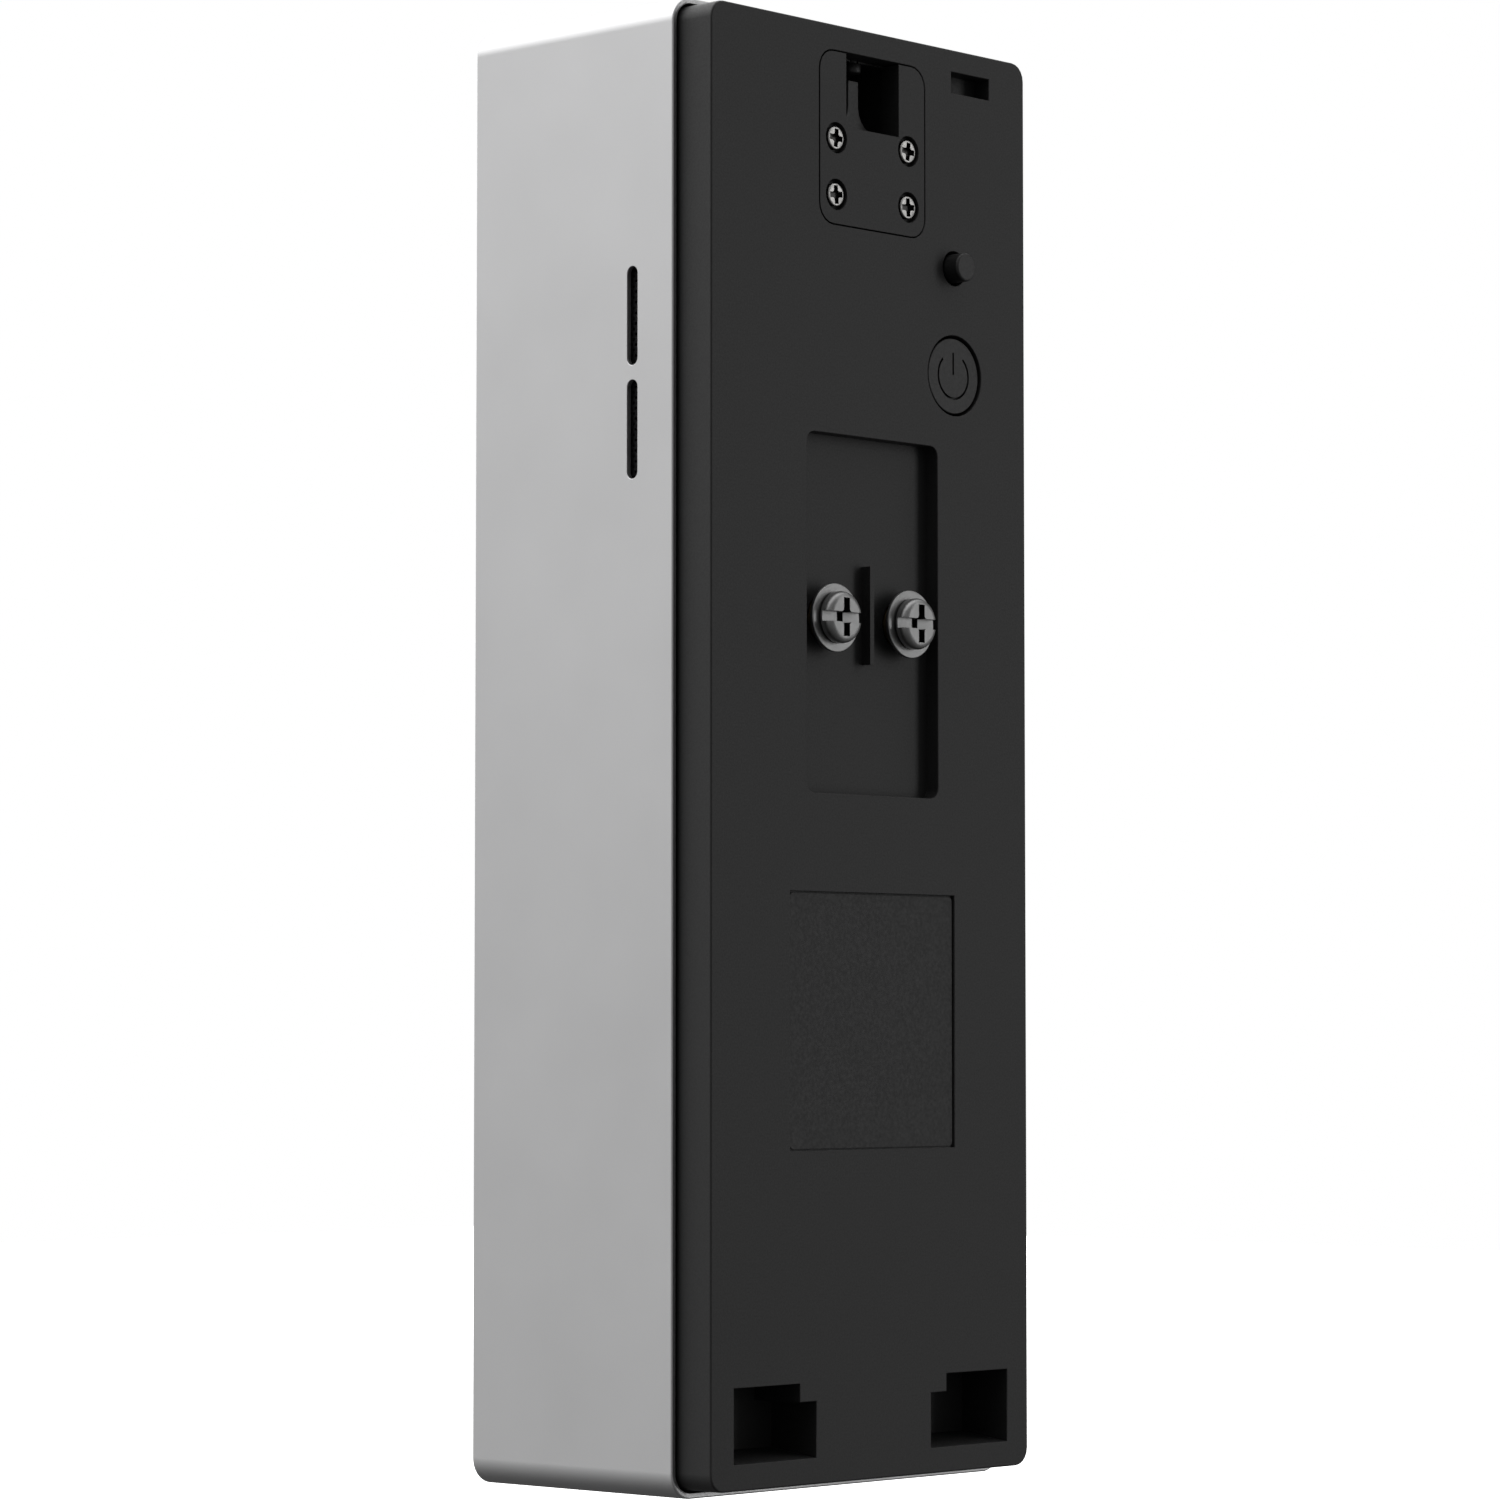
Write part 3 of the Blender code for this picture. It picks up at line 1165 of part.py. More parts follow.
def make_carrier():
    """Inner frame behind the panel, its four screws and the gasket round its edge."""
    half = INNER_HALF - GAP
    carrier = block(
        "front_carrier",
        (-half, front(CARRIER_FRONT), up(INNER_BOTTOM + GAP)),
        (half, front(CARRIER_BACK), up(HEIGHT - INNER_BOTTOM - GAP)),
        INNER_PLASTIC,
    )
    before = front(CARRIER_FRONT - PAST)
    behind = front(CARRIER_BACK + PAST)
    camera = (0.0, up(CAMERA_UP))
    light = (0.0, up(CAMERA_UP - LIGHT_SENSOR_DROP))
    motion = (0.0, up(MOTION_UP))
    holes = [
        ("camera", camera, BARREL_RADIUS + GAP, COARSE_TURN),
        ("light", light, LIGHT_SENSOR_RADIUS + GAP, COARSE_TURN),
        ("motion", motion, MOTION_CAN + GAP, COARSE_TURN),
        ("button", (0.0, up(BELL_BUTTON_UP)), BELL_FLANGE + 2 * GAP, TURN),
        ("sound", (0.0, up(MICROPHONE_UP)), SOUND_HOLE, COARSE_TURN),
    ]
    for name, side in SIDES:
        holes.append((f"infrared_{name}", (side * INFRARED_X, up(CAMERA_UP)), INFRARED_RADIUS + GAP, COARSE_TURN))
    for name, x, z in carrier_screw_places():
        holes.append((f"screw_{name}", (x, z), CARRIER_SCREW_SHANK + GAP, COARSE_TURN))
    cuts = [rod(f"carrier_{name}_hole", at, radius, before, behind, turn=turn) for name, at, radius, turn in holes]
    floor = front(CARRIER_FRONT + CARRIER_COUNTERBORE)
    for name, x, z in carrier_screw_places():
        radius = CARRIER_SCREW_HEAD + GAP
        cuts.append(rod(f"carrier_counterbore_{name}", (x, z), radius, before, floor, turn=COARSE_TURN))
    combine(carrier, cuts)
    make_carrier_screws(floor)
    make_gasket()


def make_carrier_screws(floor):
    """Four self-tapping screws, driven from the front before the panel is bonded on."""
    for name, x, z in carrier_screw_places():
        seat = floor - GAP
        top = seat - CARRIER_SCREW_HEAD_HEIGHT
        end = front(CARRIER_FRONT + CARRIER_SCREW_LENGTH)
        profile = [
            (0.0, end),
            (CARRIER_SCREW_SHANK / 2, end),
            (CARRIER_SCREW_SHANK, end - CARRIER_SCREW_SHANK),
            (CARRIER_SCREW_SHANK, seat),
            (CARRIER_SCREW_HEAD, seat),
            (CARRIER_SCREW_HEAD, top + 0.3 * MM),
            (CARRIER_SCREW_HEAD - 0.3 * MM, top),
            (0.0, top),
        ]
        turned(f"carrier_screw_{name}", profile, (x, z), BRIGHT_SCREW, turn=COARSE_TURN)


def make_gasket():
    """Foam gasket between the panel and the housing's front rim."""
    outer = HOUSING_HALF - 2 * GAP
    low = front(PANEL_BACK + GAP)
    high = front(RIM_FRONT - GAP)
    gasket = block(
        "housing_gasket",
        (-outer, low, up(HOUSING_INSET) + 2 * GAP),
        (outer, high, up(HEIGHT - HOUSING_INSET) - 2 * GAP),
        RUBBER,
        corner=HOUSING_CORNER - 2 * GAP,
    )
    inner = outer - GASKET_WIDTH
    hollow = block(
        "gasket_hollow",
        (-inner, low - PAST, up(HOUSING_INSET) + 2 * GAP + GASKET_WIDTH),
        (inner, high + PAST, up(HEIGHT - HOUSING_INSET) - 2 * GAP - GASKET_WIDTH),
        corner=HOUSING_CORNER - 2 * GAP - GASKET_WIDTH / 2,
    )
    combine(gasket, [hollow])


def make_main_board():
    """Main board behind the back wall, with its shield can, and the aerial beside it."""
    top = up(HEIGHT - MAIN_BOARD_TOP)
    right = -INNER_HALF + 5 * GAP
    face = back(BOARD_DEPTH)
    block(
        "main_board",
        (right, face - BOARD_THICKNESS, top - MAIN_BOARD_HEIGHT),
        (MAIN_BOARD_LEFT, face, top),
        BOARD,
        corner=1.0 * MM,
    )
    shield_back = face - BOARD_THICKNESS - GAP
    shield_right = right + 10 * GAP
    shield_bottom = top - MAIN_BOARD_HEIGHT + 8 * GAP
    block(
        "rf_shield",
        (shield_right, shield_back - SHIELD_THICKNESS, shield_bottom),
        (shield_right + SHIELD_WIDTH, shield_back, shield_bottom + SHIELD_HEIGHT),
        STEEL,
        corner=0.5 * MM,
    )
    aerial_x = -INNER_HALF + GAP
    aerial_front = -(DEPTH - SENSOR_BOARD_FRONT) / 2 - ANTENNA_WIDTH / 2
    block(
        "wifi_antenna",
        (aerial_x, aerial_front, up(POCKET_TOP) - ANTENNA_LENGTH / 2),
        (aerial_x + ANTENNA_THICKNESS, aerial_front + ANTENNA_WIDTH, up(POCKET_TOP) + ANTENNA_LENGTH / 2),
        BRASS,
    )


def make_battery():
    """Two cylindrical cells, side by side, in the holder that covers their front."""
    bottom = up(BATTERY_UP)
    top = up(BATTERY_TOP)
    cap = 0.6 * MM
    cuts = []
    for name, side in SIDES:
        centre = (side * CELL_X, back(CELL_DEPTH))
        profile = [
            (0.0, top),
            (CELL_RADIUS * 0.3, top),
            (CELL_RADIUS * 0.3, top - cap),
            (CELL_RADIUS - cap, top - cap),
            (CELL_RADIUS, top - 2 * cap),
            (CELL_RADIUS, bottom + cap),
            (CELL_RADIUS - cap, bottom),
            (0.0, bottom),
        ]
        turned(f"battery_cell_{name}", profile, centre, CELL_WRAP, "Z", turn=20)
        radius = CELL_RADIUS + GAP
        cuts.append(rod(f"cell_bore_{name}", centre, radius, bottom - GAP, top + GAP, "Z", turn=20))
    holder = block(
        "battery_holder",
        (-HOLDER_HALF, front(HOLDER_FRONT), bottom - GAP - BATTERY_WALL),
        (HOLDER_HALF, back(CELL_DEPTH), top + GAP + BATTERY_WALL),
        INNER_PLASTIC,
    )
    combine(holder, cuts)


def make_speaker():
    """Loudspeaker facing the sound slots, the box behind it and the mesh in front."""
    low_z = up(SPEAKER_UP) - SPEAKER_HEIGHT / 2
    high_z = up(SPEAKER_UP) + SPEAKER_HEIGHT / 2
    driver = block(
        "speaker_driver",
        (SPEAKER_X - SPEAKER_THICKNESS, back(SPEAKER_FRONT), low_z),
        (SPEAKER_X, back(SPEAKER_BACK), high_z),
        BLACK_PART,
        corner=3.0 * MM,
        along=0,
    )
    margin = 1.5 * MM
    dish = block(
        "driver_dish",
        (SPEAKER_X - 0.8 * MM, back(SPEAKER_FRONT) + margin, low_z + margin),
        (SPEAKER_X + PAST, back(SPEAKER_BACK) - margin, high_z - margin),
        corner=2.0 * MM,
        along=0,
    )
    combine(driver, [dish])
    box = block(
        "speaker_box",
        (SPEAKER_BOX_X - SPEAKER_BOX, back(SPEAKER_FRONT), low_z),
        (SPEAKER_BOX_X, back(SPEAKER_BACK), high_z),
        INNER_PLASTIC,
        corner=3.0 * MM,
        along=0,
    )
    wall = SPEAKER_BOX_WALL
    hollow = block(
        "speaker_box_hollow",
        (SPEAKER_BOX_X - SPEAKER_BOX + wall, back(SPEAKER_FRONT) + wall, low_z + wall),
        (SPEAKER_BOX_X + PAST, back(SPEAKER_BACK) - wall, high_z - wall),
        corner=3.0 * MM - wall,
        along=0,
    )
    combine(box, [hollow])
    low, high = mesh_seat()
    block(
        "speaker_mesh",
        (low[0] + HAIRLINE, low[1] + HAIRLINE, low[2] + HAIRLINE),
        (low[0] + HAIRLINE + MESH_THICKNESS, high[1] - HAIRLINE, high[2] - HAIRLINE),
        BLACK_PART,
    )


def make_microphone():
    """Microphone capsule behind its sound hole."""
    start = front(CARRIER_BACK + GAP)
    end = front(CARRIER_BACK + GAP + 1.5 * MM)
    rod("microphone", (0.0, up(MICROPHONE_UP)), MICROPHONE_RADIUS, start, end, material=STEEL, turn=24)


make_sleeve()
make_rear_housing()
make_latch_plate()
make_latch_screws()
make_latch_slider()
make_release_pin()
make_tamper_plunger()
make_power_button()
make_terminals()
make_rating_label()
make_front_panel()
make_camera()
make_sensors()
make_bell_button()
make_carrier()
make_main_board()
make_battery()
make_speaker()
make_microphone()
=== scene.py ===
"""Battery video doorbell: its visible pieces and finishes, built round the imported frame.

Metres, in the frame's axes: X across, Y out of the back, Z up the length.
"""

import json
import math

import bmesh
import bpy
from mathutils import Matrix, Vector


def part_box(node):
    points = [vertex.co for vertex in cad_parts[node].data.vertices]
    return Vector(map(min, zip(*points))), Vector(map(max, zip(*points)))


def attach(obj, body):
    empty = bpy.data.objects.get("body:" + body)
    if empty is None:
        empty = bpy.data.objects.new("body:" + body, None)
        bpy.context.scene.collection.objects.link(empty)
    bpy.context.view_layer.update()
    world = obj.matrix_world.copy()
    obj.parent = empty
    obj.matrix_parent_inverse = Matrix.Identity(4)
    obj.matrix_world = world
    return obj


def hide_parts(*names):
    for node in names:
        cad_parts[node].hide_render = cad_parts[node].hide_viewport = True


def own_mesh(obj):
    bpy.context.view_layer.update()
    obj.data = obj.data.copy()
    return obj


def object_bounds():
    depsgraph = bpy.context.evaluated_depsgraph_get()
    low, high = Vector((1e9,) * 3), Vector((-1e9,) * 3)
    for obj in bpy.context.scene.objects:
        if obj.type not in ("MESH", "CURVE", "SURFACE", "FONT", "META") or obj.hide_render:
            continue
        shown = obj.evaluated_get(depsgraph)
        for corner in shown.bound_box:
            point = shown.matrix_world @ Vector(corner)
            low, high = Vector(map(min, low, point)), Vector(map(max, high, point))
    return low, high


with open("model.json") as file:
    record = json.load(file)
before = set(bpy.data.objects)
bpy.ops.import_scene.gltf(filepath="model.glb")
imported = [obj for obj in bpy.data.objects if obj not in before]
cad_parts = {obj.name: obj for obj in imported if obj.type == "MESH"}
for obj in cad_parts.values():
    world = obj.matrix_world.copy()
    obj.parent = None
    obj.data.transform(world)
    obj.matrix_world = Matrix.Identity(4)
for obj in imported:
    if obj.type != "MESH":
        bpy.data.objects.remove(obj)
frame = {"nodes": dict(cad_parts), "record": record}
frame_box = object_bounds()
MM = 0.001


# ---- Camera ------------------------------------------------------------------------------------
# A long lens half a metre away, level with the label, that looks at the corner between the flat back
# and the side with the sound slots.
def placed(name, data):
    """A new object in the scene on this mesh, light or camera."""
    piece = bpy.data.objects.new(name, data)
    bpy.context.scene.collection.objects.link(piece)
    return piece


camera = placed("studio_camera", bpy.data.cameras.new("studio_camera"))
camera.data.lens = 121.83
camera.data.sensor_width = 36.0
camera.data.shift_x = -0.00045
camera.data.shift_y = -0.0042
camera.location = (0.38674, 0.34576, -0.02022)
camera.rotation_euler = (math.radians(93.369), 0.0, math.radians(133.188))
bpy.context.scene.camera = camera


# ---- Floor and light ---------------------------------------------------------------------------
# A wide white floor well below the doorbell. The room is white to the camera, and lights the doorbell
# with soft bright patches: beside the slotted side, above, behind and near the camera. Two soft boxes
# add light on the front, and sheen on the back.
FLOOR_DROP = 0.32
FLOOR_SIZE = 14.0
floor_mesh = bpy.data.meshes.new("studio_floor")
floor_height = frame_box[0].z - FLOOR_DROP
half_floor = FLOOR_SIZE / 2
floor_corners = ((-1, -1), (1, -1), (1, 1), (-1, 1))
floor_mesh.from_pydata(
    [(x * half_floor, y * half_floor, floor_height) for x, y in floor_corners], [], [(0, 1, 2, 3)]
)
studio_floor = placed("studio_floor", floor_mesh)
floor_paint = bpy.data.materials.new("white_floor_paint")
floor_paint.use_nodes = True
floor_shader = floor_paint.node_tree.nodes["Principled BSDF"]
WHITE = (1.0, 1.0, 1.0, 1.0)
for socket, value in (("Base Color", (0.92, 0.92, 0.92, 1.0)), ("Roughness", 0.9),
                      ("Specular IOR Level", 0.0), ("Emission Color", WHITE), ("Emission Strength", 0.7)):
    floor_shader.inputs[socket].default_value = value
floor_mesh.materials.append(floor_paint)
studio_floor.visible_diffuse = False
studio_floor.visible_glossy = False


def soft_box(name, place, aim, width, height, power, sheen_only=False):
    """A soft light facing the point `aim`, out of the camera's sight; `sheen_only` adds no matt tone."""
    light = bpy.data.lights.new(name, "AREA")
    light.shape = "RECTANGLE"
    light.size = width
    light.size_y = height
    light.energy = power
    box = placed(name, light)
    box.location = place
    box.rotation_euler = (Vector(aim) - Vector(place)).to_track_quat("-Z", "Y").to_euler()
    box.visible_camera = False
    box.visible_diffuse = not sheen_only


middle = (frame_box[0] + frame_box[1]) / 2
soft_box("front_light", (-0.7, -1.2, 0.5), middle, 0.8, 0.8, 5.0)
soft_box("far_sheen", (-0.31, 0.31, 0.07), middle, 0.12, 0.6, 0.39, sheen_only=True)

ROOM_DIM = 0.09
SIDE_WALL = 0.62
SIDE_RISE = 1.3
REAR_WALL = 0.15
NEAR_WALL = 0.17
CEILING = 1.8
room = bpy.data.worlds.new("white_room")
room.use_nodes = True
bpy.context.scene.world = room
sky = room.node_tree
sky.nodes.clear()


def add_node(tree, kind, inputs=None, **settings):
    """Adds a node with its settings; `inputs` gives a value, or a socket to link, for each input."""
    node = tree.nodes.new(kind)
    for key, value in settings.items():
        setattr(node, key, value)
    for key, value in (inputs or {}).items():
        if isinstance(value, bpy.types.NodeSocket):
            tree.links.new(value, node.inputs[key])
        else:
            node.inputs[key].default_value = value
    return node


direction = add_node(sky, "ShaderNodeTexCoord").outputs["Generated"]


def bright_patch(towards, begins, full, strength):
    """A soft bright patch of the room in one direction, from the cosines where it begins and is full."""
    facing = add_node(sky, "ShaderNodeVectorMath", {0: direction, 1: Vector(towards).normalized()},
                      operation="DOT_PRODUCT")
    fade = add_node(
        sky, "ShaderNodeMapRange",
        {"Value": facing.outputs["Value"], "From Min": begins, "From Max": full, "To Max": strength},
        interpolation_type="SMOOTHSTEP",
    )
    return fade.outputs["Result"]


def combined(first, second, operation="ADD"):
    """A maths node over two values or sockets."""
    return add_node(sky, "ShaderNodeMath", {0: first, 1: second}, operation=operation).outputs[0]


height = add_node(sky, "ShaderNodeSeparateXYZ", {0: direction}).outputs["Z"]
rise = combined(combined(height, SIDE_RISE, "MULTIPLY"), 1.0)
side_glow = combined(bright_patch((0.7, -0.7, 0.0), 0.1, 0.9, SIDE_WALL), rise, "MULTIPLY")
rear_glow = bright_patch((-0.8, 0.6, 0.05), 0.3, 0.95, REAR_WALL)
ceiling_glow = bright_patch((0.0, -0.35, 1.0), 0.38, 0.85, CEILING)
near_glow = bright_patch((0.55, 0.83, 0.1), 0.6, 0.95, NEAR_WALL)
glow = combined(combined(side_glow, combined(rear_glow, near_glow)), combined(ceiling_glow, ROOM_DIM))
lit_room = add_node(sky, "ShaderNodeBackground", {"Color": WHITE, "Strength": glow})
seen_room = add_node(sky, "ShaderNodeBackground", {"Color": WHITE})
ray = add_node(sky, "ShaderNodeLightPath")
either = add_node(sky, "ShaderNodeMixShader",
                  {0: ray.outputs["Is Camera Ray"], 1: lit_room.outputs[0], 2: seen_room.outputs[0]})
add_node(sky, "ShaderNodeOutputWorld", {"Surface": either.outputs[0]})
bpy.context.scene.view_settings.view_transform = "Standard"


# ---- Aluminium sleeve --------------------------------------------------------------------------
# A drawn aluminium tube, cut to length, bead-blasted and clear anodised. It is slid over the rear
# housing from the front, and two round-ended slots for the loudspeaker are milled in one side.
sleeve_low, sleeve_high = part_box("aluminium_sleeve")
SLEEVE_CORNER = 2.7 * MM
SLEEVE_WALL = 0.6 * MM
SLEEVE_LIP = 0.22 * MM
CORNER_STEPS = 18
SLOT_DEPTH = 10.15 * MM
SLOT_WIDTH = 1.45 * MM
SLOT_LENGTH = 10.0 * MM
SLOT_HEIGHTS = (118.1, 106.6)


def up(height):
    """Z of a height in millimetres above the sleeve's lower edge."""
    return frame_box[0].z + height * MM


def loop_at(y, low, high, inset, radius, steps=CORNER_STEPS):
    """Points round an upright rectangle with rounded corners, set in from a box's low and high corners."""
    points = []
    left, right = low.x + inset, high.x - inset
    foot, head = low.z + inset, high.z - inset
    corners = ((right, head, 0.0), (left, head, 90.0), (left, foot, 180.0), (right, foot, 270.0))
    for edge_x, edge_z, start in corners:
        middle_x = edge_x - math.copysign(radius, edge_x - (left + right) / 2)
        middle_z = edge_z - math.copysign(radius, edge_z - (foot + head) / 2)
        for step in range(steps + 1):
            angle = math.radians(start + 90.0 * step / steps)
            points.append((middle_x + radius * math.cos(angle), y, middle_z + radius * math.sin(angle)))
    return points


def skinned(name, loops, ring=False):
    """A closed mesh over a row of loops with as many points each; a ring joins the last to the first."""
    bm = bmesh.new()
    rows = [[bm.verts.new(point) for point in loop] for loop in loops]
    pairs = list(zip(rows, rows[1:]))
    if ring:
        pairs.append((rows[-1], rows[0]))
    for near, far in pairs:
        count = max(len(near), len(far))
        for i in range(count):
            j = (i + 1) % count
            corners = [near[i % len(near)], near[j % len(near)], far[j % len(far)], far[i % len(far)]]
            bm.faces.new(list(dict.fromkeys(corners)))
    if not ring:
        for end in (rows[0], rows[-1]):
            if len(end) > 2:
                bm.faces.new(end)
    bmesh.ops.recalc_face_normals(bm, faces=bm.faces)
    mesh = bpy.data.meshes.new(name)
    bm.to_mesh(mesh)
    bm.free()
    return placed(name, mesh)


def cut_out(piece, cutters, operation="DIFFERENCE"):
    """Takes the cutters out of the piece, or joins them to it, and keeps the plain result."""
    for cutter in cutters:
        step = piece.modifiers.new("cut", "BOOLEAN")
        step.operation = operation
        step.solver = "EXACT"
        step.object = cutter
    graph = bpy.context.evaluated_depsgraph_get()
    mesh = bpy.data.meshes.new_from_object(piece.evaluated_get(graph))
    piece.modifiers.clear()
    old = piece.data
    piece.data = mesh
    mesh.name = piece.name
    bpy.data.meshes.remove(old)
    for cutter in cutters:
        bpy.data.objects.remove(cutter)


def ease_edges(piece, width, which=None, segments=2, over=50.0):
    """Merges flat faces, rounds the sharp edges that `which` picks and marks the rounded strips for a
    painted highlight.
    """
    bm = bmesh.new()
    bm.from_mesh(piece.data)
    bmesh.ops.remove_doubles(bm, verts=bm.verts, dist=0.000001)
    bmesh.ops.dissolve_limit(bm, angle_limit=math.radians(0.6), verts=bm.verts, edges=bm.edges)
    # The rounded strips are marked so that their finish paints them lighter: a painted highlight.
    highlight_strip = bm.faces.layers.float.new("painted_edge_highlight")
    sharp = [e for e in bm.edges if len(e.link_faces) == 2 and e.calc_face_angle() > math.radians(over)]
    chosen = [e for e in sharp if which is None or which(e)]
    if width and chosen:
        made = bmesh.ops.bevel(
            bm, geom=chosen, offset=width, segments=segments, profile=0.5, affect="EDGES",
            clamp_overlap=True,
        )
        for face in made["faces"]:
            face[highlight_strip] = 1.0
    bm.to_mesh(piece.data)
    bm.free()
    piece.data.shade_smooth()
    piece.data.set_sharp_from_angle(angle=math.radians(50.0))
    flatten = piece.modifiers.new("flat_faces_stay_flat", "WEIGHTED_NORMAL")
    flatten.keep_sharp = True


def mounted(piece, body, slot, material, *nodes):
    """Gives the piece its material and its body, and hides the frame's solids that it stands for; `slot` is
    not used.
    """
    piece.data.materials.clear()
    piece.data.materials.append(material)
    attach(piece, body)
    if nodes:
        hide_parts(*nodes)
    return piece


def flat_stadium(name, axis_y, middle_z, width, length, x_low, x_high):
    """A bar along X with a round-ended outline, standing upright."""
    points = []
    for start, side in ((0.0, 1.0), (180.0, -1.0)):
        for step in range(17):
            angle = math.radians(start + 180.0 * step / 16)
            y = axis_y + width / 2 * math.cos(angle)
            z = middle_z + side * (length - width) / 2 + width / 2 * math.sin(angle)
            points.append((y, z))
    return skinned(name, [[(x, y, z) for y, z in points] for x in (x_low, x_high)])


def grain_group():
    """Fine grain with a slow drift under it: `Height` for a bump and `Tone` round 1 for a colour."""
    tree = bpy.data.node_groups.new("surface_grain", "ShaderNodeTree")
    for label, way in (("Grain Size", "INPUT"), ("Drift Size", "INPUT"), ("Contrast", "INPUT"),
                       ("Height", "OUTPUT"), ("Tone", "OUTPUT")):
        tree.interface.new_socket(label, in_out=way, socket_type="NodeSocketFloat")
    start = tree.nodes.new("NodeGroupInput")
    end = tree.nodes.new("NodeGroupOutput")
    place = add_node(tree, "ShaderNodeTexCoord").outputs["Object"]

    def reckoned(operation, *values):
        return add_node(tree, "ShaderNodeMath", dict(enumerate(values)), operation=operation).outputs[0]

    noises = []
    for size, detail in (("Grain Size", 3.0), ("Drift Size", 2.0)):
        scale = reckoned("DIVIDE", 1.0, start.outputs[size])
        noise = add_node(tree, "ShaderNodeTexNoise", {"Detail": detail, "Vector": place, "Scale": scale})
        noises.append(noise.outputs["Fac"])
    centred = reckoned("SUBTRACT", reckoned("ADD", *noises), 1.0)
    tree.links.new(noises[0], end.inputs["Height"])
    tree.links.new(reckoned("MULTIPLY_ADD", centred, start.outputs["Contrast"], 1.0), end.inputs["Tone"])
    return tree


SURFACE_GRAIN = grain_group()


def plain_finish(name, colour, roughness, metallic=0.0, specular=0.5):
    """A material with one Principled shader; returns it with its nodes and the shader."""
    material = bpy.data.materials.new(name)
    material.use_nodes = True
    material.diffuse_color = (*colour, 1.0)
    shader = material.node_tree.nodes["Principled BSDF"]
    shader.inputs["Base Color"].default_value = (*colour, 1.0)
    shader.inputs["Roughness"].default_value = roughness
    shader.inputs["Metallic"].default_value = metallic
    shader.inputs["Specular IOR Level"].default_value = specular
    return material, material.node_tree, shader


def grain_in(tree, grain, drift, contrast):
    """The grain group in a material, with that finish's sizes."""
    values = {"Grain Size": grain, "Drift Size": drift, "Contrast": contrast}
    return add_node(tree, "ShaderNodeGroup", values, node_tree=SURFACE_GRAIN)


def tinted(tree, shader, colour, tone):
    """Scales the colour by a tone that changes over the surface."""
    tint = add_node(tree, "ShaderNodeVectorMath", {0: colour, "Scale": tone}, operation="SCALE")
    tree.links.new(tint.outputs[0], shader.inputs["Base Color"])


def grained_finish(name, colour, roughness, metallic=0.0, specular=0.5,
                   grain=0.16 * MM, drift=9.0 * MM, contrast=0.1, relief=0.01 * MM, bump=0.5,
                   painted_light_tone=1.25, gloss_spread=0.06, marked="painted_edge_highlight"):
    """A grained finish: tone and roughness vary with the grain, and the marked faces change tone: painted
    highlight above 1, painted shade below 1.
    """
    material, tree, shader = plain_finish(name, colour, roughness, metallic, specular)
    texture = grain_in(tree, grain, drift, contrast)
    # Painted light: the marked faces' colour is scaled by this tone. Above 1 it is a painted highlight on
    # eased edges; below 1 it is painted shade in screw recesses.
    painted_light_mask = add_node(tree, "ShaderNodeAttribute", attribute_name=marked)
    painted_light_factor = add_node(tree, "ShaderNodeMath", {0: painted_light_mask.outputs["Fac"], 1: painted_light_tone - 1.0, 2: 1.0},
                         operation="MULTIPLY_ADD")
    tone = add_node(tree, "ShaderNodeMath", {0: texture.outputs["Tone"], 1: painted_light_factor.outputs[0]},
                    operation="MULTIPLY")
    tinted(tree, shader, colour, tone.outputs[0])
    gloss = add_node(
        tree, "ShaderNodeMapRange",
        {"Value": texture.outputs["Height"], "From Min": 0.3, "From Max": 0.7,
         "To Min": roughness - gloss_spread, "To Max": roughness + gloss_spread},
    )
    tree.links.new(gloss.outputs["Result"], shader.inputs["Roughness"])
    rise = add_node(tree, "ShaderNodeBump",
                    {"Strength": bump, "Distance": relief, "Height": texture.outputs["Height"]})
    tree.links.new(rise.outputs["Normal"], shader.inputs["Normal"])
    return material


# The eased edges' tone paints them a little lighter: a painted highlight.
BLASTED_ALUMINIUM = grained_finish(
    "bead_blasted_aluminium", (0.53, 0.53, 0.534), 0.44, metallic=1.0,
    grain=0.13 * MM, drift=14.0 * MM, contrast=0.12, relief=0.006 * MM, bump=0.55, painted_light_tone=1.05,
)


def sleeve_loops():
    """Cross-section of the wall: along the outside, over the rear lip, back inside, over the front lip."""
    depth_range = sleeve_high.y - sleeve_low.y
    section = []
    for lip_y, turn in ((sleeve_high.y, 1.0), (sleeve_low.y, -1.0)):
        for step in range(7):
            angle = math.radians(90.0 * step / 6)
            inset = SLEEVE_LIP * (1 - math.cos(angle))
            section.append((lip_y - turn * SLEEVE_LIP * (1 - math.sin(angle)), inset))
        inner = SLEEVE_LIP / 2
        for step in range(1, 5):
            angle = math.radians(90.0 * step / 4)
            inset = SLEEVE_WALL - inner * (1 - math.sin(angle))
            section.append((lip_y - turn * inner * (1 - math.cos(angle)), inset))
        if turn > 0:
            section.append((sleeve_low.y + depth_range / 2, SLEEVE_WALL))
        else:
            section.append((sleeve_low.y + depth_range / 2, 0.0))
    rear, fore = section[:12], section[12:]
    order = rear + list(reversed(fore[:-1])) + fore[-1:]
    return [loop_at(y, sleeve_low, sleeve_high, inset, SLEEVE_CORNER - inset) for y, inset in order]


sleeve = skinned("sleeve_tube", sleeve_loops(), ring=True)
slot_cutters = [
    flat_stadium("slot_cutter", -SLOT_DEPTH, up(height), SLOT_WIDTH, SLOT_LENGTH,
                 sleeve_high.x - 2 * SLEEVE_WALL, sleeve_high.x + SLEEVE_WALL)
    for height in SLOT_HEIGHTS
]
cut_out(sleeve, slot_cutters)
ease_edges(sleeve, 0.07 * MM)
mounted(sleeve, "housing", "aluminium", BLASTED_ALUMINIUM, "aluminium_sleeve")


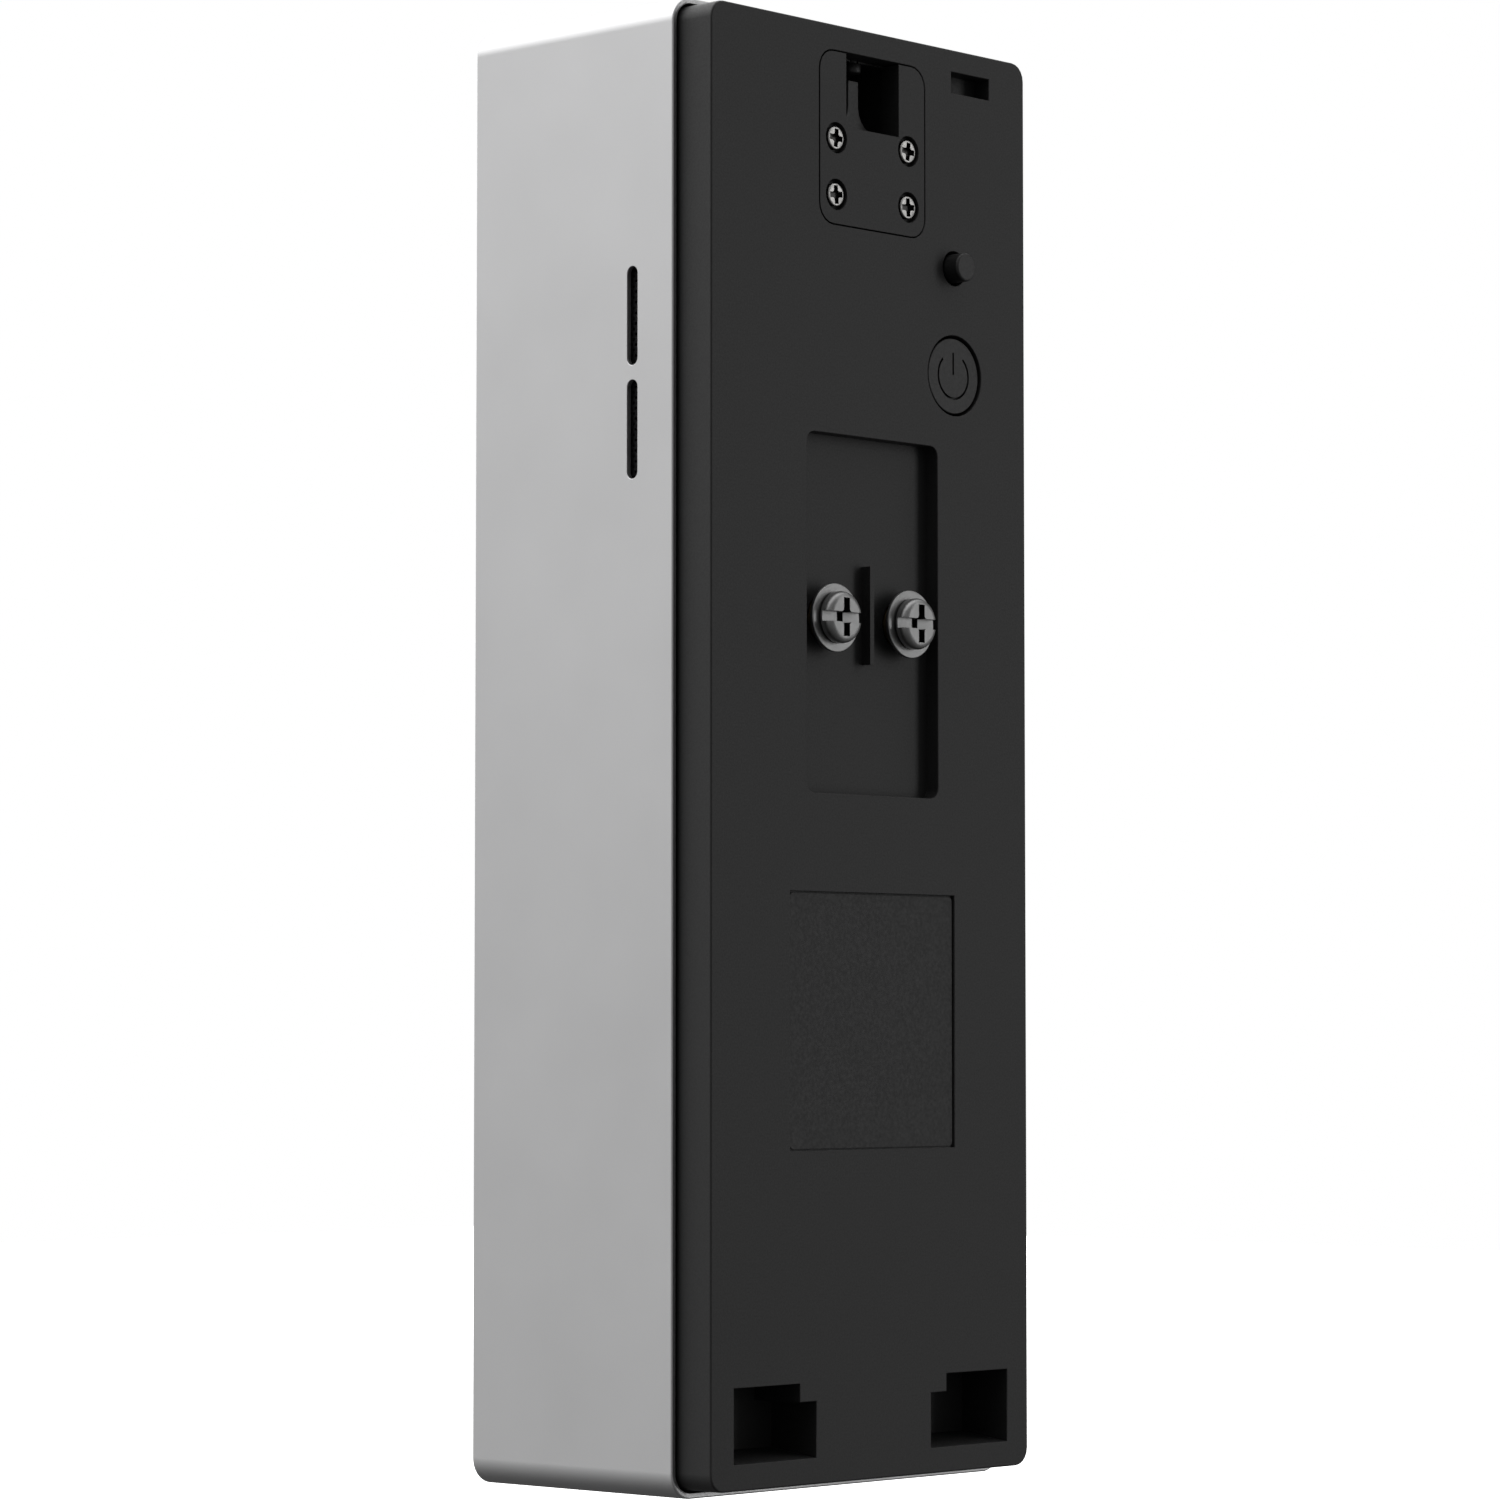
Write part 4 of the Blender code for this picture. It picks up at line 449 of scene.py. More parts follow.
# ---- Rear housing ------------------------------------------------------------------------------
# One black ABS moulding with a fine spark-eroded skin. Its flat back carries the terminal pocket, the
# label recess, the latch seat, two L-shaped hook sockets, the key slot and two round holes.
BACK_EDGE_EASE = 0.09 * MM


def traced(name, node):
    """A clean mesh on one of the frame's solids, ready to be finished."""
    solid = frame["nodes"][node].data
    mesh = bpy.data.meshes.new(name)
    mesh.from_pydata([v.co.copy() for v in solid.vertices], [], [list(p.vertices) for p in solid.polygons])
    return placed(name, mesh)


def on_plane(place):
    """Picks the edges that lie in the upright plane at this y."""
    return lambda edge: all(abs(vert.co.y - place) < 0.002 * MM for vert in edge.verts)


# The eased edges' tone paints the back's rounded edges lighter: a painted highlight.
HOUSING_PLASTIC = grained_finish(
    "spark_eroded_black", (0.004, 0.004, 0.0042), 0.56,
    grain=0.2 * MM, drift=12.0 * MM, contrast=0.16, relief=0.012 * MM, bump=0.45, painted_light_tone=1.35,
)
housing = traced("housing_shell", "rear_housing")
ease_edges(housing, BACK_EDGE_EASE, on_plane(0.0))
mounted(housing, "housing", "housing_black", HOUSING_PLASTIC, "rear_housing")


# ---- Loudspeaker mesh --------------------------------------------------------------------------
# A thin black steel sheet with round perforations in rows, glued in a shallow seat behind the slots
# to keep water and insects out.
mesh_low, mesh_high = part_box("speaker_mesh")
HOLE_PITCH = 0.62 * MM
HOLE_RADIUS = 0.19 * MM


def perforation_tile():
    """One six-sided tile of the sheet with a round hole in it, standing in the YZ plane."""
    tile_radius = HOLE_PITCH / math.sqrt(3.0)
    bm = bmesh.new()
    rows = []
    for x in (0.0, mesh_high.x - mesh_low.x):
        for radius in (tile_radius, HOLE_RADIUS):
            angles = [math.radians(60.0 * step + 30.0) for step in range(6)]
            rows.append([bm.verts.new((x, radius * math.cos(a), radius * math.sin(a))) for a in angles])
    for near, far in ((0, 1), (1, 3), (3, 2), (2, 0)):
        for i in range(6):
            j = (i + 1) % 6
            bm.faces.new((rows[near][i], rows[near][j], rows[far][j], rows[far][i]))
    bmesh.ops.recalc_face_normals(bm, faces=bm.faces)
    mesh = bpy.data.meshes.new("perforation_tile")
    bm.to_mesh(mesh)
    bm.free()
    return placed("loudspeaker_mesh", mesh)


def spread_tree(name, sockets):
    """A Geometry Nodes tree with its geometry sockets and the named inputs; returns tree, start and end."""
    tree = bpy.data.node_groups.new(name, "GeometryNodeTree")
    tree.interface.new_socket("Geometry", in_out="INPUT", socket_type="NodeSocketGeometry")
    made = {}
    for label, kind in sockets:
        made[label] = tree.interface.new_socket(label, in_out="INPUT", socket_type=kind).identifier
    tree.interface.new_socket("Geometry", in_out="OUTPUT", socket_type="NodeSocketGeometry")
    return tree, tree.nodes.new("NodeGroupInput"), tree.nodes.new("NodeGroupOutput"), made


def settle_tree(piece, tree, identifiers, values):
    """Runs the tree on the piece with its inputs set, and keeps the plain mesh that comes out."""
    step = piece.modifiers.new(tree.name, "NODES")
    step.node_group = tree
    for label, value in values.items():
        step[identifiers[label]] = value
    graph = bpy.context.evaluated_depsgraph_get()
    mesh = bpy.data.meshes.new_from_object(piece.evaluated_get(graph))
    piece.modifiers.clear()
    piece.data = mesh
    mesh.name = piece.name
    mesh.shade_smooth()
    mesh.set_sharp_from_angle(angle=math.radians(40.0))
    return piece


def close_tree(tree, geometry, start, end):
    """Ends a tree: makes the copies real and gives them the finish."""
    real = add_node(tree, "GeometryNodeRealizeInstances", {0: geometry})
    dress = add_node(tree, "GeometryNodeSetMaterial", {"Geometry": real.outputs[0]})
    tree.links.new(start.outputs["Finish"], dress.inputs["Material"])
    tree.links.new(dress.outputs[0], end.inputs[0])


def lattice_tree():
    """Copies the incoming tile on two offset grids, which make staggered rows over one sheet."""
    tree, start, end, ids = spread_tree(
        "staggered_rows",
        (("Rows", "NodeSocketInt"), ("Columns", "NodeSocketInt"), ("Pitch", "NodeSocketFloat"),
         ("Place", "NodeSocketVector"), ("Finish", "NodeSocketMaterial")),
    )
    inputs = start.outputs

    def reckoned(operation, first, second):
        return add_node(tree, "ShaderNodeMath", {0: first, 1: second}, operation=operation).outputs[0]

    pitches = {"Columns": inputs["Pitch"], "Rows": reckoned("MULTIPLY", inputs["Pitch"], math.sqrt(3.0))}
    join = tree.nodes.new("GeometryNodeJoinGeometry")
    for offset in (0.0, 0.5):
        sizes, shifts = [], []
        for count, pitch in pitches.items():
            sizes.append(reckoned("MULTIPLY", reckoned("SUBTRACT", inputs[count], 1.0), pitch))
            shifts.append(reckoned("MULTIPLY", pitch, offset))
        grid = add_node(
            tree, "GeometryNodeMeshGrid",
            {"Size X": sizes[0], "Size Y": sizes[1],
             "Vertices X": inputs["Columns"], "Vertices Y": inputs["Rows"]},
        )
        aside = add_node(tree, "ShaderNodeCombineXYZ", {0: shifts[0], 1: shifts[1]})
        moved = add_node(tree, "GeometryNodeTransform",
                         {"Geometry": grid.outputs["Mesh"], "Translation": aside.outputs[0]})
        tree.links.new(moved.outputs[0], join.inputs[0])
    upright = add_node(
        tree, "GeometryNodeTransform",
        {"Geometry": join.outputs[0], "Rotation": (math.pi / 2, 0.0, math.pi / 2),
         "Translation": inputs["Place"]},
    )
    copies = add_node(tree, "GeometryNodeInstanceOnPoints",
                      {"Points": upright.outputs[0], "Instance": inputs["Geometry"]})
    close_tree(tree, copies.outputs[0], start, end)
    return tree, ids


MESH_LACQUER = grained_finish(
    "lacquered_steel_mesh", (0.016, 0.016, 0.017), 0.5, specular=0.4, grain=0.1 * MM, drift=3.0 * MM,
)
rows_tree, rows_ids = lattice_tree()
mesh_columns = int((mesh_high.y - mesh_low.y) / HOLE_PITCH)
mesh_rows = int((mesh_high.z - mesh_low.z) / (HOLE_PITCH * math.sqrt(3.0)))
speaker_mesh = settle_tree(
    perforation_tile(),
    rows_tree,
    rows_ids,
    {
        "Rows": mesh_rows,
        "Columns": mesh_columns,
        "Pitch": HOLE_PITCH,
        "Place": (
            mesh_low.x,
            (mesh_low.y + mesh_high.y) / 2 - HOLE_PITCH / 4,
            (mesh_low.z + mesh_high.z) / 2 - HOLE_PITCH * math.sqrt(3.0) / 4,
        ),
        "Finish": MESH_LACQUER,
    },
)
mounted(speaker_mesh, "housing", "control_black", MESH_LACQUER, "speaker_mesh")


# ---- Latch cover plate -------------------------------------------------------------------------
# A thick black plate let in flush with the back and held by four small screws. The bracket's catch
# enters through the square mouth at its top.
cover_plate = traced("latch_plate", "latch_cover_plate")
ease_edges(cover_plate, 0.08 * MM, on_plane(0.0))
mounted(cover_plate, "housing", "housing_black", HOUSING_PLASTIC, "latch_cover_plate")


# ---- Latch screws ------------------------------------------------------------------------------
# Four M1.4 pan-head screws, nickel plated, with cross recesses. They sit in counterbores in the plate
# and thread into the housing behind it.
LATCH_SCREW_PITCH_X = 11.1 * MM
LATCH_SCREW_PITCH_Z = 5.85 * MM
LATCH_HEAD = 1.17 * MM
LATCH_RIM = 0.12 * MM
LATCH_SHANK = 0.66 * MM
LATCH_CROSS = 0.95 * MM
LATCH_CROSS_WIDTH = 0.6 * MM
RECESS_SHADE = 0.12


def turned(name, profile, centre, turns=64, axis="Y"):
    """A turned shape: the profile lists radius and place along the axis, from the axis out and back."""
    loops = []
    for radius, place in profile:
        angles = [2 * math.pi * step / turns for step in range(turns)]
        if radius < 0.001 * MM:
            angles = angles[:1]
        ring = []
        for a in angles:
            across, other = radius * math.cos(a), radius * math.sin(a)
            if axis == "Y":
                ring.append((centre[0] + across, place, centre[1] + other))
            else:
                ring.append((centre[0] + across, centre[1] + other, place))
        loops.append(ring)
    on_axis = profile[0][0] < 0.001 * MM
    return skinned(name, loops, ring=not on_axis)


def rounding(radius, place, across, along, angles):
    """Profile points over a rounding, at angles from the axis, round its middle (radius, place)."""
    return [
        (radius + across * math.sin(math.radians(a)), place + along * math.cos(math.radians(a)))
        for a in angles
    ]


def bar(name, low, high):
    """A plain rectangular cutter between two corners."""
    bm = bmesh.new()
    bmesh.ops.create_cube(bm, size=1.0)
    low, high = Vector(low), Vector(high)
    bmesh.ops.transform(bm, matrix=Matrix.Diagonal((*(high - low), 1.0)), verts=bm.verts)
    bmesh.ops.translate(bm, vec=(low + high) / 2, verts=bm.verts)
    mesh = bpy.data.meshes.new(name)
    bm.to_mesh(mesh)
    bm.free()
    return placed(name, mesh)


def thread(start, end, pitch, outer, inner):
    """Profile of a thread as a row of ridges, from one place on the axis down to another."""
    ridges = int(abs(start - end) / pitch)
    step = (end - start) / ridges
    points = []
    for ridge in range(ridges):
        points.append((outer, start + step * (ridge + 0.15)))
        points.append((outer, start + step * (ridge + 0.3)))
        points.append((inner, start + step * (ridge + 0.6)))
        points.append((inner, start + step * (ridge + 0.75)))
    return points


def screw_steel(name, colour, roughness):
    """Plated steel with the fine marks that turning leaves, and painted shade making the marked recesses
    nearly black.
    """
    return grained_finish(
        name, colour, roughness, metallic=1.0, grain=0.12 * MM, drift=1.6 * MM, contrast=0.35,
        relief=0.006 * MM, bump=0.4, painted_light_tone=RECESS_SHADE, gloss_spread=0.1, marked="recess",
    )


BRIGHT_NICKEL = screw_steel("bright_nickel_steel", (0.42, 0.415, 0.405), 0.34)


def cross_recess(screw, centre, top, arms, deep, corner, painted_shade_reach, skip=0):
    """Cuts crossed arms into a head, rounds the inner corners where they meet, and marks the deep faces for
    painted shade.
    """
    cutters = []
    for half_x, half_z, depth in arms:
        low = (centre[0] - half_x, top - depth, centre[1] - half_z)
        cutters.append(bar("recess", low, (centre[0] + half_x, top + MM, centre[1] + half_z)))
    cut_out(screw, cutters)
    bm = bmesh.new()
    bm.from_mesh(screw.data)
    bmesh.ops.remove_doubles(bm, verts=bm.verts, dist=0.000001)
    bmesh.ops.dissolve_limit(bm, angle_limit=math.radians(0.6), verts=bm.verts, edges=bm.edges)
    inner = []
    for edge in bm.edges:
        a, b = (vert.co for vert in edge.verts)
        upright = abs(a.x - b.x) < 0.01 * MM and abs(a.z - b.z) < 0.01 * MM
        x, z = abs(a.x - centre[0]), abs(a.z - centre[1])
        at_corner = abs(x - deep[0]) < 0.02 * MM and abs(z - deep[1]) < 0.02 * MM
        if upright and at_corner and max(a.y, b.y) > top - 0.05 * MM:
            inner.append(edge)
    if inner:
        bmesh.ops.bevel(bm, geom=inner, offset=corner, segments=4, profile=0.5, affect="EDGES")
    # Faces deep in the recess are marked for painted shade, which the finish paints nearly black.
    painted_shade_mark = bm.faces.layers.float.new("recess")
    reach = 0.02 * MM
    for face in bm.faces:
        middle_of_face = face.calc_center_median()
        x, z = abs(middle_of_face.x - centre[0]), abs(middle_of_face.z - centre[1])
        sunk = top - middle_of_face.y
        within = any(
            x < half_x + corner and z < half_z + corner and sunk < depth + reach
            for half_x, half_z, depth in arms[skip:]
        )
        face[painted_shade_mark] = float(within and sunk > 0.1 * MM and max(x, z) < painted_shade_reach)
    bm.to_mesh(screw.data)
    bm.free()


def four_corners_tree():
    """Copies the incoming screw to the corners of an upright rectangle, each turned its own way."""
    tree, start, end, ids = spread_tree(
        "four_corners",
        (("Width", "NodeSocketFloat"), ("Height", "NodeSocketFloat"), ("Place", "NodeSocketVector"),
         ("Turn", "NodeSocketFloat"), ("Finish", "NodeSocketMaterial")),
    )
    inputs = start.outputs
    grid = add_node(
        tree, "GeometryNodeMeshGrid",
        {"Vertices X": 2, "Vertices Y": 2, "Size X": inputs["Width"], "Size Y": inputs["Height"]},
    )
    upright = add_node(
        tree, "GeometryNodeTransform",
        {"Geometry": grid.outputs["Mesh"], "Rotation": (math.pi / 2, 0.0, 0.0),
         "Translation": inputs["Place"]},
    )
    chance = add_node(tree, "FunctionNodeRandomValue", {"Seed": 4, 2: -1.0, 3: 1.0}, data_type="FLOAT")
    amount = add_node(tree, "ShaderNodeMath", {0: chance.outputs[1], 1: inputs["Turn"]},
                      operation="MULTIPLY")
    about_y = add_node(tree, "ShaderNodeCombineXYZ", {"Y": amount.outputs[0]})
    copies = add_node(
        tree, "GeometryNodeInstanceOnPoints",
        {"Points": upright.outputs[0], "Instance": inputs["Geometry"], "Rotation": about_y.outputs[0]},
    )
    close_tree(tree, copies.outputs[0], start, end)
    return tree, ids


latch_screw_boxes = [
    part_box(f"latch_screw_{row}_{side}") for row in ("upper", "lower") for side in ("left", "right")
]
latch_low = Vector(map(min, *[box[0] for box in latch_screw_boxes]))
latch_high = Vector(map(max, *[box[1] for box in latch_screw_boxes]))
latch_top = latch_high.y
latch_seat = latch_top - 0.6 * MM
latch_profile = [(0.0, latch_top), (LATCH_HEAD - LATCH_RIM, latch_top)]
latch_profile += rounding(LATCH_HEAD - LATCH_RIM, latch_top - LATCH_RIM, LATCH_RIM, LATCH_RIM, (30, 60, 90))
latch_profile += [(LATCH_HEAD, latch_seat), (LATCH_SHANK, latch_seat)]
latch_profile += thread(latch_seat - 0.2 * MM, latch_low.y + 0.4 * MM, 0.3 * MM, LATCH_SHANK, 0.52 * MM)
latch_profile += [(0.3 * MM, latch_low.y), (0.0, latch_low.y)]
latch_screws = turned("latch_screws", latch_profile, (0.0, 0.0), turns=40)
cross_recess(
    latch_screws, (0.0, 0.0), latch_top,
    ((LATCH_CROSS, LATCH_CROSS_WIDTH / 2, 0.52 * MM), (LATCH_CROSS_WIDTH / 2, LATCH_CROSS, 0.52 * MM)),
    (LATCH_CROSS_WIDTH / 2, LATCH_CROSS_WIDTH / 2), 0.22 * MM, LATCH_HEAD,
)
corners_tree, corners_ids = four_corners_tree()
settle_tree(
    latch_screws,
    corners_tree,
    corners_ids,
    {
        "Width": LATCH_SCREW_PITCH_X,
        "Height": LATCH_SCREW_PITCH_Z,
        "Place": (0.0, 0.0, (latch_low.z + latch_high.z) / 2),
        "Turn": math.radians(8.0),
        "Finish": BRIGHT_NICKEL,
    },
)
mounted(latch_screws, "housing", "screw_bright", BRIGHT_NICKEL,
        *[f"latch_screw_{row}_{side}" for row in ("upper", "lower") for side in ("left", "right")])


# ---- Latch slider ------------------------------------------------------------------------------
# The sprung acetal slider in the latch bay. Its narrow tongue, with hollow feet, stands up behind
# the mouth and holds the bracket's catch.
# The eased edges' tone paints the tongue's rounded edges lighter: a painted highlight.
ACETAL = grained_finish(
    "satin_black_acetal", (0.004, 0.004, 0.0042), 0.5, grain=0.25 * MM, drift=6.0 * MM,
    contrast=0.1, relief=0.006 * MM, bump=0.3, painted_light_tone=1.3,
)
slider_low, slider_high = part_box("latch_slider")
slider = traced("latch_tongue", "latch_slider")
ease_edges(slider, 0.12 * MM, on_plane(slider_high.y), over=60.0)
mounted(slider, "latch_slider", "control_black", ACETAL, "latch_slider")


# ---- Latch spring ------------------------------------------------------------------------------
# A short compression spring of steel wire between the floor of the latch bay and the slider.
SPRING_TURNS = 4.0
SPRING_WIRE = 0.18 * MM
spring_low, spring_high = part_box("latch_spring")


def coil_tree():
    """Winds a wire along Z: a spiral with a round section, closed at both ends."""
    tree, start, end, ids = spread_tree(
        "wound_wire",
        (("Turns", "NodeSocketFloat"), ("Radius", "NodeSocketFloat"), ("Length", "NodeSocketFloat"),
         ("Wire", "NodeSocketFloat"), ("Place", "NodeSocketVector"), ("Finish", "NodeSocketMaterial")),
    )
    inputs = start.outputs
    spiral = add_node(
        tree, "GeometryNodeCurveSpiral",
        {"Resolution": 20, "Rotations": inputs["Turns"], "Start Radius": inputs["Radius"],
         "End Radius": inputs["Radius"], "Height": inputs["Length"]},
    )
    section = add_node(tree, "GeometryNodeCurvePrimitiveCircle",
                       {"Resolution": 10, "Radius": inputs["Wire"]})
    wound = add_node(tree, "GeometryNodeCurveToMesh",
                     {"Fill Caps": True, "Curve": spiral.outputs[0], "Profile Curve": section.outputs[0]})
    moved = add_node(tree, "GeometryNodeTransform",
                     {"Geometry": wound.outputs[0], "Translation": inputs["Place"]})
    close_tree(tree, moved.outputs[0], start, end)
    return tree, ids


SPRING_STEEL = screw_steel("drawn_spring_steel", (0.5, 0.5, 0.5), 0.32)
wire_tree, wire_ids = coil_tree()
latch_coil = placed("latch_coil", bpy.data.meshes.new("latch_coil"))
spring_axis_y = (spring_low.y + spring_high.y) / 2
settle_tree(
    latch_coil,
    wire_tree,
    wire_ids,
    {
        "Turns": SPRING_TURNS,
        "Radius": (spring_high.x - spring_low.x) / 2 - SPRING_WIRE,
        "Length": spring_high.z - spring_low.z - 2 * SPRING_WIRE,
        "Wire": SPRING_WIRE,
        "Place": (0.0, spring_axis_y, spring_low.z + SPRING_WIRE),
        "Finish": SPRING_STEEL,
    },
)
mounted(latch_coil, "housing", "steel", SPRING_STEEL, "latch_spring")
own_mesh(latch_coil)


# ---- Release pin -------------------------------------------------------------------------------
# A moulded pin in a bore from the top edge. A tool pushes it down on the tongue, to free the bracket.
pin_low, pin_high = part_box("release_pin")
PIN_DEPTH = -3.0 * MM
PIN_HEAD = 1.0 * MM
PIN_SHANK = 0.6 * MM
PIN_ROUND = 0.3 * MM
pin_shoulder = up(146.2)
pin_profile = [(0.0, pin_high.z), (PIN_SHANK - 0.12 * MM, pin_high.z), (PIN_SHANK, pin_high.z - 0.12 * MM)]
pin_profile += [(PIN_SHANK, pin_shoulder), (PIN_HEAD - 0.08 * MM, pin_shoulder)]
pin_profile += [(PIN_HEAD, pin_shoulder - 0.08 * MM)]
pin_profile += rounding(PIN_HEAD - PIN_ROUND, pin_low.z + PIN_ROUND, PIN_ROUND, -PIN_ROUND,
                        (90, 68, 45, 23, 0))
pin_profile += [(0.0, pin_low.z)]
release_pin = turned("release_plunger", pin_profile, (0.0, PIN_DEPTH), turns=40, axis="Z")
ease_edges(release_pin, 0.0)
mounted(release_pin, "release_pin", "control_black", ACETAL, "release_pin")


# ---- Terminal screws and washers ---------------------------------------------------------------
# Two M3 pan-head screws for the bell wires, blackened steel, with a slot right across the head and a
# cross recess. A captive washer under each presses the wire on the terminal.
TERMINAL_X = 5.75 * MM
TERMINAL_HEIGHT = 88.2
HEAD_RADIUS = 2.65 * MM
HEAD_FLAT = 1.9 * MM
HEAD_ROUND = 0.72 * MM
SHANK_RADIUS = 1.45 * MM
SLOT_HALF = 0.52 * MM
ARM_HALF = 0.44 * MM
ARM_REACH = 1.95 * MM
WASHER_RADIUS = 3.5 * MM
BLACKENED_STEEL = screw_steel("blackened_zinc_steel", (0.27, 0.27, 0.27), 0.4)
for side, sign in (("left", 1.0), ("right", -1.0)):
    centre = (sign * TERMINAL_X, up(TERMINAL_HEIGHT))
    screw_low, screw_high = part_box(f"terminal_screw_{side}")
    top = screw_high.y
    head_profile = [(0.0, top), (HEAD_FLAT, top)]
    head_profile += rounding(HEAD_FLAT, top - HEAD_ROUND, HEAD_RADIUS - HEAD_FLAT, HEAD_ROUND,
                             range(12, 91, 13))
    washer_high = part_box(f"terminal_washer_{side}")[1].y
    washer_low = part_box(f"terminal_washer_{side}")[0].y
    seat = washer_high + 0.15 * MM
    head_profile += [(HEAD_RADIUS, seat + 0.08 * MM), (HEAD_RADIUS - 0.08 * MM, seat), (SHANK_RADIUS, seat)]
    head_profile += thread(seat - 0.9 * MM, screw_low.y + 0.8 * MM, 0.5 * MM, SHANK_RADIUS, 1.2 * MM)
    head_profile += [(0.9 * MM, screw_low.y), (0.0, screw_low.y)]
    screw = turned(f"wire_screw_{side}", head_profile, centre, turns=72)
    cross_recess(
        screw, centre, top,
        ((HEAD_RADIUS + MM, SLOT_HALF, 1.0 * MM), (ARM_HALF, ARM_REACH, 1.15 * MM),
         (0.42 * MM, 0.5 * MM, 1.6 * MM)),
        (ARM_HALF, SLOT_HALF), 0.35 * MM, ARM_REACH + 0.1 * MM, skip=1,
    )
    on_head = lambda edge: all(vert.co.y > seat + 0.3 * MM for vert in edge.verts)  # noqa: E731
    ease_edges(screw, 0.035 * MM, on_head, segments=1)
    mounted(screw, f"terminal_screw_{side}", "screw_black", BLACKENED_STEEL, f"terminal_screw_{side}")
    bore = SHANK_RADIUS + 0.2 * MM
    rim = 0.1 * MM
    ring_profile = [
        (bore, washer_high - rim / 2), (bore + rim / 2, washer_high), (WASHER_RADIUS - rim, washer_high),
        (WASHER_RADIUS - 0.3 * rim, washer_high - 0.3 * rim), (WASHER_RADIUS, washer_high - rim),
        (WASHER_RADIUS, washer_low + rim), (WASHER_RADIUS - rim, washer_low), (bore, washer_low),
    ]
    washer = turned(f"wire_washer_{side}", ring_profile, centre, turns=80)
    ease_edges(washer, 0.0)
    mounted(washer, f"terminal_washer_{side}", "screw_black", BLACKENED_STEEL, f"terminal_washer_{side}")


# ---- Tamper plunger ----------------------------------------------------------------------------
# A round acetal plunger that stands out of the back. The bracket holds it down, and the switch behind
# it reports when the doorbell is taken off.
plunger_low, plunger_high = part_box("tamper_plunger")
PLUNGER_RADIUS = 1.5 * MM
PLUNGER_ROUND = 0.28 * MM
CONTROLS_X = -12.8 * MM
CONTROL_LIP = 0.9 * MM
flange_back = -3.5 * MM
flange_front = flange_back - 0.8 * MM
plunger_profile = [(0.0, plunger_high.y)]
plunger_profile += rounding(PLUNGER_RADIUS - PLUNGER_ROUND, plunger_high.y - PLUNGER_ROUND,
                            PLUNGER_ROUND, PLUNGER_ROUND, range(0, 91, 15))
plunger_profile += [
    (PLUNGER_RADIUS, flange_back), (PLUNGER_RADIUS + CONTROL_LIP, flange_back),
    (PLUNGER_RADIUS + CONTROL_LIP, flange_front), (PLUNGER_RADIUS, flange_front),
    (PLUNGER_RADIUS, plunger_low.y), (0.0, plunger_low.y),
]
plunger = turned("tamper_pin", plunger_profile, (CONTROLS_X, up(126.0)), turns=56)
ease_edges(plunger, 0.0)
mounted(plunger, "tamper_plunger", "control_black", ACETAL, "tamper_plunger")


# ---- Power button ------------------------------------------------------------------------------
# A round acetal button, a little below the back face, with the usual sign for power engraved in it:
# an open ring and an upright bar.
button_low, button_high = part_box("power_button")
POWER_HEIGHT = 114.7
POWER_RADIUS = 3.97 * MM
SIGN_RADIUS = 2.37 * MM
SIGN_LINE = 0.25 * MM
SIGN_DEPTH = 0.5 * MM
SIGN_OPENING = math.radians(41.0)
SIGN_BAR = 2.4 * MM
power_centre = (CONTROLS_X, up(POWER_HEIGHT))
face = button_high.y + 0.2 * MM
power_profile = [
    (0.0, face), (POWER_RADIUS - 0.12 * MM, face), (POWER_RADIUS - 0.035 * MM, face - 0.035 * MM),
    (POWER_RADIUS, face - 0.12 * MM), (POWER_RADIUS, flange_back),
    (POWER_RADIUS + CONTROL_LIP, flange_back),
    (POWER_RADIUS + CONTROL_LIP, flange_front), (PLUNGER_RADIUS, flange_front),
    (PLUNGER_RADIUS, button_low.y), (0.0, button_low.y),
]


def bent_bar(name, middle_at, radius, width, opening, low, high, steps=56):
    """A round-ended bar bent round a centre, open at the top by `opening` each way."""
    points = []
    sweep = 2 * math.pi - 2 * opening
    for reach in (radius + width / 2, radius - width / 2):
        arc = []
        for step in range(steps + 1):
            angle = opening + sweep * step / steps
            arc.append((middle_at[0] + reach * math.sin(angle), middle_at[1] + reach * math.cos(angle)))
        points.append(arc)
    ends = []
    for angle, turn in ((opening + sweep, 1.0), (opening, -1.0)):
        cap_x = middle_at[0] + radius * math.sin(angle)
        cap_z = middle_at[1] + radius * math.cos(angle)
        cap = []
        for step in range(1, 6):
            swing = angle + turn * math.pi * step / 6
            if turn < 0:
                swing += math.pi
            cap.append((cap_x + width / 2 * math.sin(swing), cap_z + width / 2 * math.cos(swing)))
        ends.append(cap)
    outline = points[0] + ends[0] + list(reversed(points[1])) + ends[1]
    return skinned(name, [[(x, y, z) for x, z in outline] for y in (low, high)])


def upright_bar(name, x, z_low, z_high, width, low, high):
    """A round-ended upright bar."""
    outline = []
    for middle_z, start in ((z_high - width / 2, 0.0), (z_low + width / 2, 180.0)):
        for step in range(9):
            angle = math.radians(start + 180.0 * step / 8)
            outline.append((x + width / 2 * math.cos(angle), middle_z + width / 2 * math.sin(angle)))
    return skinned(name, [[(px, y, pz) for px, pz in outline] for y in (low, high)])


power_button = turned("power_key", power_profile, power_centre, turns=96)
sign_floor = face - SIGN_DEPTH
bar_foot = power_centre[1] + 0.1 * MM
cut_out(
    power_button,
    [
        bent_bar("sign_ring", power_centre, SIGN_RADIUS, SIGN_LINE, SIGN_OPENING, sign_floor, face + MM),
        upright_bar("sign_bar", CONTROLS_X, bar_foot, bar_foot + SIGN_BAR, SIGN_LINE,
                    sign_floor, face + MM),
    ],
)
ease_edges(power_button, 0.0)
mounted(power_button, "power_button", "control_black", ACETAL, "power_button")


